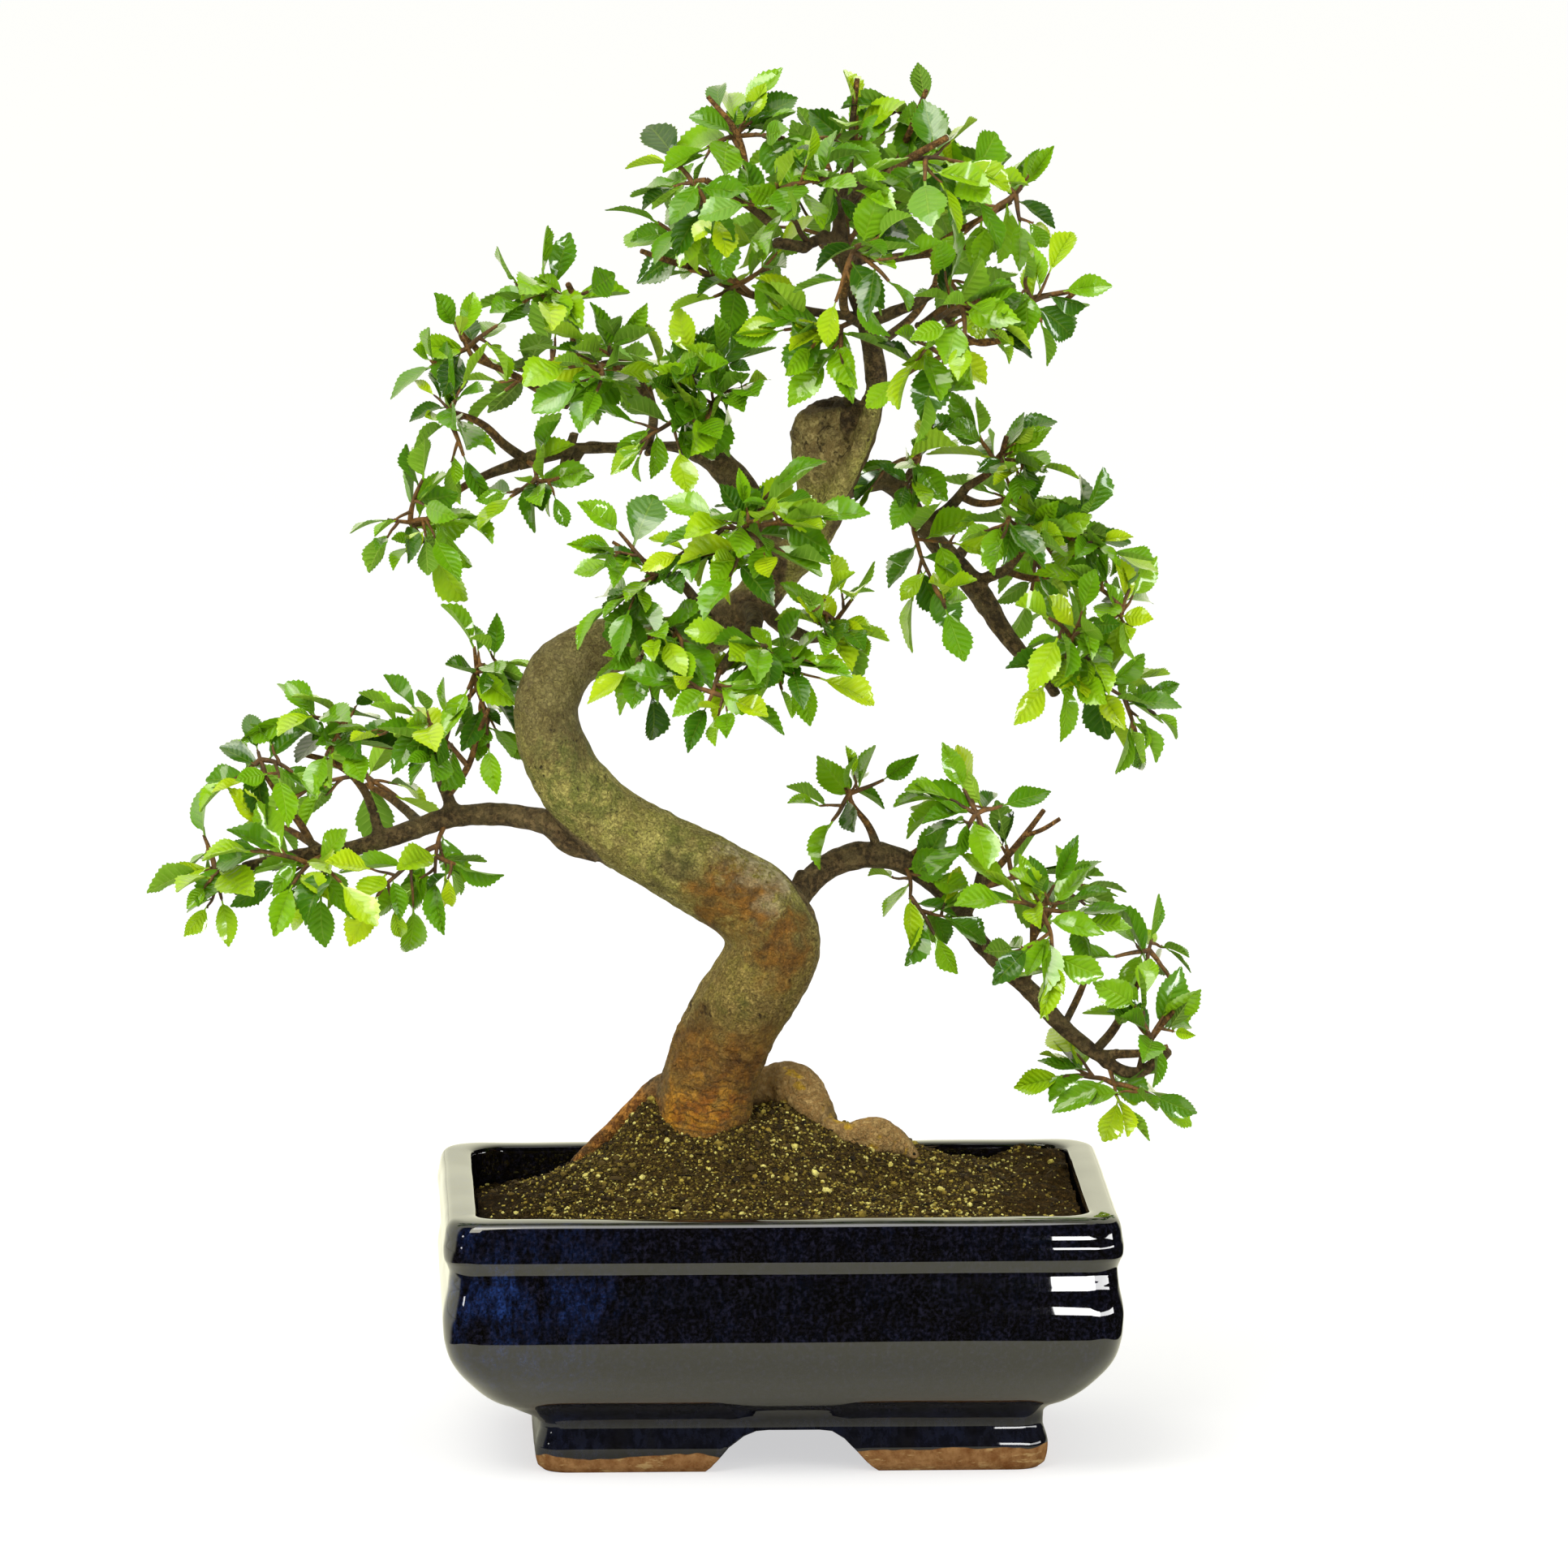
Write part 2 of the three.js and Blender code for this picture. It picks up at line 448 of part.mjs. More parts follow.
// Places along a line of points where a twig can start
function seatsAlong(points, radii) {
  const seats = [];
  const last = points.length - 1;
  for (let i = 0; i < last; i++) {
    const span = points[i + 1].clone().sub(points[i]);
    const steps = Math.max(1, Math.floor(span.length() / seatStep + 0.5));
    const heading = span.clone().normalize();
    for (let step = 0; step < steps; step++) {
      const place = points[i].clone().addScaledVector(span, step / steps);
      seats.push({ place, heading, radius: radii[i] });
    }
    if (i === last - 1) seats.push({ place: points[last], heading, radius: radii[last] });
  }
  return seats;
}

// A pad grows on the limbs that carry its name, and the crown on the leader too
function padSeats(pad) {
  const isOwn = (name) => name.startsWith(pad) || (pad === 'crown' && name === 'leader');
  const limbs = Object.entries(wood).filter(([name]) => isOwn(name)).map(([, points]) => points);
  return limbs.flatMap((points) => seatsAlong(points.map(vector), points.map((point) => point[3])));
}

// The seat from which a twig reaches its end by a short way that leaves the wood at a slant
function seatFor(tip, seats) {
  let best = null;
  let least = Infinity;
  for (const seat of seats) {
    const way = tip.clone().sub(seat.place);
    const reach = way.length();
    const cost = reach * (1.5 - way.dot(seat.heading) / reach);
    if (reach > leafSpacing && cost < least) {
      least = cost;
      best = seat;
    }
  }
  return best;
}

function growSpray(tips, middle, seats, seed) {
  const random = randomFrom(seed);
  const spread = () => random() - 0.5;
  const shoots = [];
  const leaves = [];

  // Leaves face out of the pad and up, and to the nearer of its two long sides
  function facing(place) {
    const out = place.clone().sub(middle).normalize();
    const side = out.y < 0.25 ? -0.55 : 0.55;
    const x = out.x * 0.7 + spread() * 1.1;
    const y = out.y * 0.5 + side + spread() * 0.8;
    const z = out.z * 0.4 + 0.5 + spread() * 0.9;
    return new THREE.Vector3(x, y, z).normalize();
  }

  function addLeaf(place, heading, side, size, turn, shoot) {
    const face = facing(place);
    const up = face.clone().addScaledVector(heading, -0.9 * face.dot(heading)).normalize();
    const across = heading.clone().cross(up).normalize();
    const axis = heading.clone().multiplyScalar(Math.cos(turn));
    axis.addScaledVector(across, side * Math.sin(turn)).normalize();
    const normal = up.addScaledVector(axis, -up.dot(axis)).normalize();
    leaves.push({ place, axis, normal, length: size * leafLength, end: side === 0, shoot });
  }

  // Leaves by turns left and right along the twig, the largest past its middle, and one at its end
  function addLeaves(at, along, reach, first, shoot) {
    const count = Math.max(1, Math.floor((reach - first) / leafSpacing));
    for (let i = 0; i < count; i++) {
      const t = (first + (reach - first) * i / count) / reach;
      const full = 0.7 + 0.4 * Math.sin(Math.PI * Math.min(1, t * 0.9 + 0.1));
      const size = full * (0.8 + 0.4 * random());
      const turn = THREE.MathUtils.degToRad(THREE.MathUtils.lerp(...leafTurn, random()));
      addLeaf(at(t), along(t), i % 2 ? 1 : -1, size, turn, shoot);
    }
    addLeaf(at(1), along(1), 0, 0.8 + 0.35 * random(), 0, shoot);
  }

  const own = [];
  tips.forEach((tip, order) => {
    const { place: seat, radius } = seatFor(tip, order ? own : seats);
    const span = tip.clone().sub(seat);
    const reach = span.length();
    const side = span.clone().cross(new THREE.Vector3(0, 0, 1)).normalize();
    const knee = seat.clone().addScaledVector(span, 0.5);
    const bow = reach > shortTwig ? reach : 0;
    knee.z += bowUp * bow;
    knee.addScaledVector(side, spread() * bowAside * bow);
    const at = (t) => seat.clone().multiplyScalar((1 - t) ** 2)
      .addScaledVector(knee, 2 * t * (1 - t)).addScaledVector(tip, t * t);
    const along = (t) => knee.clone().sub(seat).multiplyScalar(1 - t)
      .addScaledVector(tip.clone().sub(knee), t).normalize();
    const main = { at, reach, first: order === 0 };
    shoots.push(main);
    const path = seatsAlong([at(0), at(1 / 3), at(2 / 3), at(1)], Array(4).fill(twigRadius));
    const bare = Math.min(1.5 * radius + 2, 0.6 * reach);
    own.push(...path.filter(({ place }) => order || place.distanceTo(seat) > bare));
    addLeaves(at, along, reach, (order ? 0.2 : 0.3) * reach, main);
    const sideShoots = reach > longTwig ? 2 : Number(reach > shortTwig);
    for (let i = 0; i < sideShoots; i++) {
      const t = 0.42 + 0.26 * i;
      const root = at(t);
      const heading = along(t);
      const up = root.clone().sub(middle).normalize().add(new THREE.Vector3(0, 0, 0.8)).normalize();
      const across = heading.clone().cross(up).normalize();
      const turn = THREE.MathUtils.degToRad(42 + 16 * random());
      const hand = (i + seed) % 2 ? 1 : -1;
      const away = heading.clone().multiplyScalar(Math.cos(turn));
      away.addScaledVector(across, hand * Math.sin(turn));
      away.addScaledVector(up, spread() * 0.5).normalize();
      const wanted = (0.5 - 0.1 * i) * reach * (0.85 + 0.3 * random());
      const length = THREE.MathUtils.clamp(wanted, ...shootLength);
      const straight = (u) => root.clone().addScaledVector(away, length * u);
      const shoot = { at: straight, reach: length, parent: main };
      shoots.push(shoot);
      addLeaves(straight, () => away, length, seatStep, shoot);
    }
  });
  return { shoots, leaves };
}

// A three-sided twig. One that grows from another twig starts thin, inside it.
function twigSolid({ at, reach, first }, from = 0) {
  const places = reach > shortTwig ? [from, (from + 1) / 2, 1] : [from, 1];
  const points = places.map((t, i) => {
    const radius = i === 0 && !first ? 0.5 * twigRadius : twigRadius * (1 - 0.25 * t);
    return [...at(t).toArray(), radius];
  });
  return limb(points, 0, 3);
}

// The spray's first twig, cut back until it stands clear of the wood that it grows from
function firstTwig(shoot, trunk) {
  let from = 0;
  let twig = twigWithBox(shoot);
  while (!isClear(twig, trunk, seatGap) && from < 0.7) {
    from += 0.01;
    twig = twigWithBox(shoot, from);
  }
  return twig;
}

// A blade with a toothed edge, thickest near its root
function bladeSolid({ place, axis, normal, length }) {
  const across = normal.clone().cross(axis);
  const at = (along, wide) => place.clone().addScaledVector(axis, along * length - leafSunk)
    .addScaledVector(across, wide * leafHalfWidth * length);
  const left = leafOutline.map(([along, wide]) => at(along, wide));
  const right = leafOutline.slice(1, -1).reverse().map(([along, wide]) => at(along, -wide));
  const edge = [...left, ...right];
  const thickest = at(leafThickestAt, 0);
  const top = thickest.clone().addScaledVector(normal, leafThick / 2);
  const bottom = thickest.clone().addScaledVector(normal, -leafThick / 2);
  const index = [];
  edge.forEach((_, i) => {
    const next = (i + 1) % edge.length;
    index.push(edge.length, next, i, edge.length + 1, i, next);
  });
  const geometry = new THREE.BufferGeometry().setFromPoints([...edge, top, bottom]);
  geometry.setIndex(index);
  return toSolid(geometry);
}

function withBox(solid) {
  const { min, max } = solid.boundingBox();
  return { solid, box: new THREE.Box3(vector(min), vector(max)) };
}

const twigWithBox = (shoot, from) => ({ ...withBox(twigSolid(shoot, from)), shoot });

function isClear(one, others, gap) {
  const room = one.box.clone().expandByScalar(gap);
  const near = others.filter((other) => room.intersectsBox(other.box));
  return near.every((other) => one.solid.minGap(other.solid, gap) >= gap);
}

// The spray's first twig and those joined to it that don't cross the wood
function keptTwigs(shoots, trunk) {
  const mains = shoots.filter((shoot) => !shoot.parent);
  const kept = [firstTwig(mains[0], trunk)];
  for (const shoot of mains.slice(1)) {
    const twig = twigWithBox(shoot);
    const joined = !isClear(twig, kept, 0.01);
    if (joined && isClear(twig, trunk, seatGap)) kept.push(twig);
  }
  return kept;
}

function growSprays() {
  const sprays = [];
  for (const [pad, { middle, sprays: lists }] of Object.entries(pads)) {
    const seats = padSeats(pad);
    lists.forEach((tips, i) => {
      const grown = growSpray(tips.map(vector), vector(middle), seats, sprays.length + 1);
      const number = String(i + 1).padStart(2, '0');
      const name = `spray_${pad.replace(/[A-Z]/g, (letter) => `_${letter.toLowerCase()}`)}_${number}`;
      sprays.push({ name, ...grown });
    });
  }
  return sprays;
}

// Leaves at the twigs' ends come first, then those along them, and last those on the side shoots
function inTurn(leaves) {
  const rank = (leaf) => (leaf.shoot.parent ? 2 : 0) + (leaf.end ? 0 : 1);
  return [...leaves].sort((a, b) => rank(a) - rank(b));
}

// Gives each spray, one leaf at a time, the leaves that stay clear of the wood and of all the others
function chooseLeaves(sprays, trunk) {
  for (const spray of sprays) {
    spray.twigs = keptTwigs(spray.shoots, trunk);
    const kept = spray.twigs.map(({ shoot }) => shoot);
    spray.waiting = inTurn(spray.leaves.filter(({ shoot }) => kept.includes(shoot.parent ?? shoot)));
    spray.wanted = Math.round(spray.leaves.length * leafShare);
    spray.blades = [];
  }
  const most = Math.max(...sprays.map(({ waiting }) => waiting.length));
  for (let round = 0; round < most; round++) {
    for (const spray of sprays.filter(({ blades, wanted }) => blades.length < wanted)) {
      addNextLeaf(spray, sprays, trunk);
    }
  }
}

function addNextLeaf(spray, sprays, trunk) {
  const leaf = spray.waiting.shift();
  if (!leaf) return;
  const { shoot } = leaf;
  const blade = withBox(bladeSolid(leaf));
  const carrier = spray.twigs.some((twig) => twig.shoot === shoot) ? [] : [twigWithBox(shoot)];
  const neighbours = sprays.filter((other) => other !== spray);
  const others = [...trunk, ...neighbours.flatMap(({ twigs, blades }) => [...twigs, ...blades])];
  if (![...carrier, blade].every((piece) => isClear(piece, others, seatGap))) return;
  const ownTwigs = spray.twigs.filter((twig) => twig.shoot !== shoot);
  if (!isClear(blade, [...spray.blades, ...ownTwigs], bladeGap)) return;
  spray.twigs.push(...carrier);
  spray.blades.push(blade);
}

function buildSpray({ twigs, blades }) {
  return Manifold.union([...twigs, ...blades].map(({ solid }) => solid));
}

// The whole part

const part = new THREE.Group();

function addNode(name, solid, color, roughness) {
  const material = new THREE.MeshStandardMaterial({ color, roughness, metalness: 0 });
  const node = new THREE.Mesh(toGeometry(solid.simplify(finest)), material);
  node.name = name;
  part.add(node);
}

const bareWood = buildWood().simplify(finest);
addNode('pot', buildPot(), 0x0b1230, 0.12);
addNode('soil', buildSoil(buildWood(seatGap + finest)), 0x3a2a18, 0.95);
drainPlaces.forEach((x, i) => addNode(`drain_mesh_${i + 1}`, buildDrainMesh(x), 0x151515, 0.6));
addNode('trunk', bareWood, 0x6b6147, 0.85);
const sprays = growSprays();
const trunk = [withBox(bareWood)];
chooseLeaves(sprays, trunk);
const greens = [0x3f7d1e, 0x4f9426, 0x35701a, 0x62a52f];
sprays.forEach((spray, i) => {
  addNode(spray.name, buildSpray(spray), greens[i % greens.length], 0.4);
});

// The origin is under the middle of the whole part
const whole = new THREE.Box3().setFromObject(part);
part.position.set(-(whole.min.x + whole.max.x) / 2, -(whole.min.y + whole.max.y) / 2, -whole.min.z);

export default part;
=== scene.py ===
import math
import random
from functools import reduce

import bmesh
import bpy
import numpy as np
from mathutils import Matrix, Vector, kdtree, noise


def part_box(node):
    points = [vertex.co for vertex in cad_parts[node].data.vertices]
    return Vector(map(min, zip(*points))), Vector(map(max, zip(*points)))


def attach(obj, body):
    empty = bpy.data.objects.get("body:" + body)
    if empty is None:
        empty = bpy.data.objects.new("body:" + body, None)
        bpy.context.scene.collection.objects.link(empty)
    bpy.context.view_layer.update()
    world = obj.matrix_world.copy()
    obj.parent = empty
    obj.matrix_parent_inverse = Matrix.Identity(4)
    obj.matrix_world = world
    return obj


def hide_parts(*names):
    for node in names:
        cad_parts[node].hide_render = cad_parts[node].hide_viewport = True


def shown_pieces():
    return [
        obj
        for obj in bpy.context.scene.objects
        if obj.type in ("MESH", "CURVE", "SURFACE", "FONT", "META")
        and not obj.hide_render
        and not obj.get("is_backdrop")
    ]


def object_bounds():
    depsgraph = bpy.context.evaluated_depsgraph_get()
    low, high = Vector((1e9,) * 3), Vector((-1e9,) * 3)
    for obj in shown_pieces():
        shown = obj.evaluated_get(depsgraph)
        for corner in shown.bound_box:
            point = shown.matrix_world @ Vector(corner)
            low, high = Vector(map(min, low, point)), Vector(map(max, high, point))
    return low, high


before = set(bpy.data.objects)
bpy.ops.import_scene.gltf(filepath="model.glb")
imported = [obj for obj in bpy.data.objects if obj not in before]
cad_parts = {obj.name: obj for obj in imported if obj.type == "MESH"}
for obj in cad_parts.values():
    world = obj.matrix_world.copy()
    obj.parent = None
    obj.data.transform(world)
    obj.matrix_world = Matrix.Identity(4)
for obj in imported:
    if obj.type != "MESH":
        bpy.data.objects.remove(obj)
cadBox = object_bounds()

# Shapes are made in millimetres from the middle of the pot's underside, then settled into the frame
potLow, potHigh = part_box("pot")
potMiddle = Vector(((potLow.x + potHigh.x) / 2, (potLow.y + potHigh.y) / 2, potLow.z))
intoFrame = Matrix.Translation(potMiddle) @ Matrix.Scale(0.001, 4)
boxLow, boxHigh = (np.array(intoFrame.inverted() @ corner) for corner in cadBox)


# Meshes

def nothingSelected():
    if bpy.context.object and bpy.context.object.mode != "OBJECT":
        bpy.ops.object.mode_set(mode="OBJECT")
    bpy.ops.object.select_all(action="DESELECT")


def pickUp(piece):
    nothingSelected()
    piece.select_set(True)
    bpy.context.view_layer.objects.active = piece


def editFaces(piece, wanted):  # goes into edit mode with only the wanted faces selected
    pickUp(piece)
    bpy.ops.object.mode_set(mode="EDIT")
    bpy.ops.mesh.select_mode(type="FACE")
    bpy.ops.mesh.select_all(action="DESELECT")
    mesh = bmesh.from_edit_mesh(piece.data)
    for face in mesh.faces:
        face.select_set(wanted(face))
    bmesh.update_edit_mesh(piece.data)


def extrudeFaces(x, y, z):
    bpy.ops.mesh.extrude_region_move(TRANSFORM_OT_translate={"value": (x, y, z)})


def closeUp():  # turns all faces outwards and leaves edit mode
    bpy.ops.mesh.select_all(action="SELECT")
    bpy.ops.mesh.normals_make_consistent(inside=False)
    bpy.ops.object.mode_set(mode="OBJECT")


def applyPlace():
    bpy.ops.object.transform_apply(location=True, rotation=True, scale=True)
    return bpy.context.object


def applyTo(piece, kind, **settings):
    pickUp(piece)
    modifier = piece.modifiers.new(kind.lower(), kind)
    for name, value in settings.items():
        setattr(modifier, name, value)
    bpy.ops.object.modifier_apply(modifier=modifier.name)


def smoothTo(piece, degrees):
    pickUp(piece)
    bpy.ops.object.shade_smooth_by_angle(angle=math.radians(degrees))


def addToScene(name, data):
    made = bpy.data.objects.new(name, data)
    bpy.context.scene.collection.objects.link(made)
    return made


def copyOf(pattern):
    return addToScene(pattern.name, pattern.data.copy())


def joinAll(pieces):
    pickUp(pieces[0])
    for piece in pieces[1:]:
        piece.select_set(True)
    bpy.ops.object.join()
    return pieces[0]


def removeAll(pieces):
    for piece in pieces:
        bpy.data.objects.remove(piece)


def readRows(items, name):  # three numbers for each vertex or normal
    rows = np.empty(len(items) * 3, np.float32)
    items.foreach_get(name, rows)
    return rows.reshape(-1, 3)


def readPlaces(piece):
    return readRows(piece.data.vertices, "co")


def readNormals(piece):
    return readRows(piece.data.vertex_normals, "vector")


def setPlaces(mesh, places):
    mesh.vertices.foreach_set("co", np.asarray(places, np.float32).ravel())
    mesh.update()


def setMarks(mesh, name, values):
    marks = mesh.attributes.get(name) or mesh.attributes.new(name, "FLOAT", "POINT")
    marks.data.foreach_set("value", np.asarray(values, np.float32))


def settle(piece, name, nodes, materials=()):
    pickUp(piece)
    applyPlace()
    piece.data.transform(intoFrame)
    piece.name = piece.data.name = name
    for material in materials:
        piece.data.materials.append(material)
    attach(piece, "root")
    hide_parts(*nodes)


def throughPoints(points, steps):  # more points on a smooth line through the given ones
    points = [np.array(point, float) for point in points]
    ends = [2 * points[0] - points[1], *points, 2 * points[-1] - points[-2]]
    line = []
    for before, start, end, after in zip(ends, ends[1:], ends[2:], ends[3:]):
        for t in (step / steps for step in range(steps)):
            line.append(0.5 * (2 * start + (end - before) * t
                               + (2 * before - 5 * start + 4 * end - after) * t * t
                               + (3 * start - before - 3 * end + after) * t ** 3))
    return line + [points[-1]]


def smoothStep(value, low, high):
    t = np.clip((value - low) / (high - low), 0, 1)
    return t * t * (3 - 2 * t)


# Nodes: the bench holds the node tree, the shader and the material in hand

bench = {}


def feed(socket, value):
    if isinstance(value, bpy.types.NodeSocket):
        bench["tree"].links.new(value, socket)
    else:
        socket.default_value = (*value, 1) if socket.type == "RGBA" else value


def addNode(kind, sockets=None, **settings):
    made = bench["tree"].nodes.new(kind)
    for name, value in settings.items():
        setattr(made, name, value)
    for name, value in (sockets or {}).items():
        feed(made.inputs[name], value)
    return made


def maths(operation, *values):
    return addNode("ShaderNodeMath", dict(enumerate(values)), operation=operation).outputs[0]


def times(*values):
    return reduce(lambda one, other: maths("MULTIPLY", one, other), values)


def plus(one, other):
    return maths("ADD", one, other)


def minus(one, other):
    return maths("SUBTRACT", one, other)


def larger(one, other):
    return maths("MAXIMUM", one, other)


def lengthOf(x, y):
    return maths("SQRT", plus(times(x, x), times(y, y)))


def spread(value, low, high, start=0.0, end=1.0):
    sockets = {"Value": value, "From Min": low, "From Max": high, "To Min": start, "To Max": end}
    return addNode("ShaderNodeMapRange", sockets, interpolation_type="SMOOTHSTEP").outputs[0]


def mix(share, one, other):
    return addNode("ShaderNodeMix", {0: share, 2: one, 3: other}).outputs[0]


def blend(share, one, other, way="MIX"):
    made = addNode("ShaderNodeMix", {0: share, 6: one, 7: other}, data_type="RGBA", blend_type=way)
    return made.outputs[2]


def paint(base, *coats):  # each coat is a colour, then the masks and shares that hold it back
    for colour, *masks in coats:
        base = blend(times(*masks), base, colour)
    return base


def colours(value, *stops):
    made = addNode("ShaderNodeValToRGB", {0: value})
    ramp = made.color_ramp
    for index, (place, *colour) in enumerate(stops):
        stop = ramp.elements[index] if index < 2 else ramp.elements.new(place)
        stop.position = place
        stop.color = (*colour, 1)
    return made.outputs[0]


def splitUp(place):
    return addNode("ShaderNodeSeparateXYZ", {0: place}).outputs


def cloudAt(place, scale, detail=2.0, output=0, **more):
    sockets = {"Vector": place, "Scale": scale, "Detail": detail, **more}
    return addNode("ShaderNodeTexNoise", sockets).outputs[output]


def vectorMaths(operation, one, other, label=1, output=0):
    return addNode("ShaderNodeVectorMath", {0: one, label: other}, operation=operation).outputs[output]


def mark(name):
    return addNode("ShaderNodeAttribute", attribute_name=name).outputs["Fac"]


def setShader(**values):
    for label, value in values.items():
        feed(bench["shader"].inputs[label.replace("_", " ")], value)


def startMaterial(name, **fixed):
    material = bpy.data.materials.new(name)
    material.use_nodes = True
    tree = material.node_tree
    bench.update(tree=tree, shader=tree.nodes["Principled BSDF"], material=material)
    setShader(**fixed)
    return addNode("ShaderNodeTexCoord").outputs["Object"]


def addBump(*layers):  # each layer is a height, its strength and its depth in millimetres
    normal = None
    for height, strength, depth in layers:
        sockets = {"Height": height, "Strength": strength, "Distance": depth * 0.001}
        normal = addNode("ShaderNodeBump", {**sockets, **({"Normal": normal} if normal else {})}).outputs[0]
    setShader(Normal=normal)


# Camera, lights and floor

studio = {
    "lens": 310, "distance": 3994, "azimuth": -2.1, "elevation": 8.0, "target": (2.4, 0, 197.5),
    "backdrop": 1.1, "sky": 0.97, "darkFront": 0.006, "brightBack": 1.32, "darkFloorFrom": 84,
    "skyTint": (1.0, 0.985, 0.74), "warm": (1.0, 0.965, 0.78), "floorGlow": (0.58, 0.58, 0.59),
    "floorPale": (0.42, 0.425, 0.51), "floorCard": (0.01, 0.01, 0.01), "darkFacing": (0.62, 0.35),
}

lamps = {  # place, size, power, aim, and whether it lights surfaces and shines in them
    "key": ((-900, -1500, 2100), (1500, 1500), 46, (0, 0, 200), True, True),
    "fill": ((1500, -1700, 900), (1200, 1200), 11, (0, 0, 200), True, False),
    "top": ((-300, -800, 1900), (1200, 900), 14, (0, 0, 200), False, True),
    "window": ((622, -1575, 180), (920, 200), 14, (80, -70, 60), False, True),
    "side": ((1450, -700, 175), (1700, 160), 11, (95, -65, 60), False, True),
    "glint": ((-1390, -640, 450), (150, 110), 0.6, (-95, -65, 60), False, True),
}


def makeCamera():
    azimuth, elevation = math.radians(studio["azimuth"]), math.radians(studio["elevation"])
    back = Vector((math.sin(azimuth) * math.cos(elevation), -math.cos(azimuth) * math.cos(elevation),
                   math.sin(elevation)))
    lens = bpy.data.cameras.new("camera")
    lens.lens = studio["lens"]
    lens.clip_end = 60
    camera = addToScene("camera", lens)
    camera.location = intoFrame @ Vector(studio["target"]) + back * studio["distance"] * 0.001
    camera.rotation_euler = (-back).to_track_quat("-Z", "Y").to_euler()
    bpy.context.scene.camera = camera


def makeLamp(name, place, size, power, aim, lights, shines):
    lamp = bpy.data.lights.new(name, "AREA")
    lamp.shape = "RECTANGLE"
    lamp.size, lamp.size_y = (side * 0.001 for side in size)
    lamp.color = studio["warm"] if lights else (1, 1, 1)
    lamp.energy = power
    holder = addToScene(name, lamp)
    holder.location = intoFrame @ Vector(place)
    way = intoFrame @ Vector(aim) - holder.location
    holder.rotation_euler = way.to_track_quat("-Z", "Y").to_euler()
    holder.visible_camera = False
    holder.visible_diffuse, holder.visible_glossy = lights, shines


def turnedBack(x, y):  # how far a direction turns to the back left, away from the dark front
    return minus(y, times(x, 0.5))


def makeWorld():
    world = bpy.data.worlds.new("studio")
    bpy.context.scene.world = world
    world.use_nodes = True
    bench["tree"] = world.node_tree
    world.node_tree.nodes.clear()
    rays = addNode("ShaderNodeLightPath").outputs
    x, y, z = splitUp(addNode("ShaderNodeTexCoord").outputs["Generated"])
    front = spread(turnedBack(x, y), *studio["darkFacing"])
    low = spread(plus(z, times(larger(y, 0.0), 0.8)), 0.93, 0.86)
    mirrored = spread(times(front, low), 0.0, 1.0, studio["brightBack"], studio["darkFront"])
    lit = mix(rays["Is Glossy Ray"], studio["sky"], mirrored)
    seen = mix(rays["Is Camera Ray"], lit, studio["backdrop"])
    tint = blend(rays["Is Camera Ray"], studio["skyTint"], (1, 1, 1))
    light = addNode("ShaderNodeBackground", {"Color": tint, "Strength": seen})
    addNode("ShaderNodeOutputWorld", {"Surface": light.outputs[0]})


def makeFloor():
    nothingSelected()
    bpy.ops.mesh.primitive_circle_add(vertices=96, radius=14, fill_type="NGON", location=(0, 0, 0))
    floor = bpy.context.object
    floor.name = "floor"
    place = startMaterial("pale_floor", Roughness=0.9, Specular_IOR_Level=0.0,
                          Emission_Color=studio["floorGlow"])
    pale = colours(cloudAt(place, 3.0), (0, 0.93, 0.93, 0.925), (1, 0.96, 0.96, 0.96))
    # A dark card lies on the floor in front, seen only in the glaze
    x, y, _ = splitUp(place)
    x = minus(x, potMiddle.x)
    aside = larger(minus(maths("ABSOLUTE", x), -potLow.y + 0.025), 0.0)
    ahead = larger(minus(potLow.y, y), 0.0)
    edge = studio["darkFloorFrom"] * 0.001
    away = spread(lengthOf(aside, ahead), edge, edge + 0.008)
    facing = spread(maths("DIVIDE", turnedBack(x, y), lengthOf(x, y)), *studio["darkFacing"])
    rays = addNode("ShaderNodeLightPath").outputs
    colour = paint(pale, (studio["floorCard"], away, facing, rays["Is Glossy Ray"]),
                   (studio["floorPale"], rays["Is Camera Ray"]))
    setShader(Base_Color=colour, Emission_Strength=rays["Is Camera Ray"])
    floor.data.materials.append(bench["material"])
    floor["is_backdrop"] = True


makeCamera()
makeWorld()
makeFloor()
for name, facts in lamps.items():
    makeLamp(name, *facts)
bpy.context.scene.view_settings.view_transform = "Standard"
print("stage: camera, lights and floor are set")


# Finishes

def makeGroup(name, makeMask, numbers):  # a mask made from a place and some numbers
    group = bpy.data.node_groups.new(name, "ShaderNodeTree")
    group.interface.new_socket(name="Place", in_out="INPUT", socket_type="NodeSocketVector")
    for label, value in numbers.items():
        socket = group.interface.new_socket(name=label, in_out="INPUT", socket_type="NodeSocketFloat")
        socket.default_value = value
    group.interface.new_socket(name="Mask", in_out="OUTPUT", socket_type="NodeSocketFloat")
    bench["tree"] = group
    given = addNode("NodeGroupInput").outputs
    mask = makeMask(*(given[label] for label in ("Place", *numbers)))
    addNode("NodeGroupOutput", {"Mask": mask})
    return group


def mottleMask(place, size, cover, softness):  # soft-edged patches of about the given size and share
    middle = spread(cover, 0.0, 1.0, 0.72, 0.28)
    cloud = cloudAt(place, maths("DIVIDE", 1000.0, size), 4.0, Roughness=0.6)
    return spread(cloud, minus(middle, softness), plus(middle, softness))


def pitsMask(place, size, width):  # small round spots or pores, darkest in their middles
    cells = addNode("ShaderNodeTexVoronoi", {"Vector": place, "Scale": maths("DIVIDE", 1000.0, size)})
    return spread(maths("DIVIDE", cells.outputs["Distance"], width), 0.35, 1.0, 1.0, 0.0)


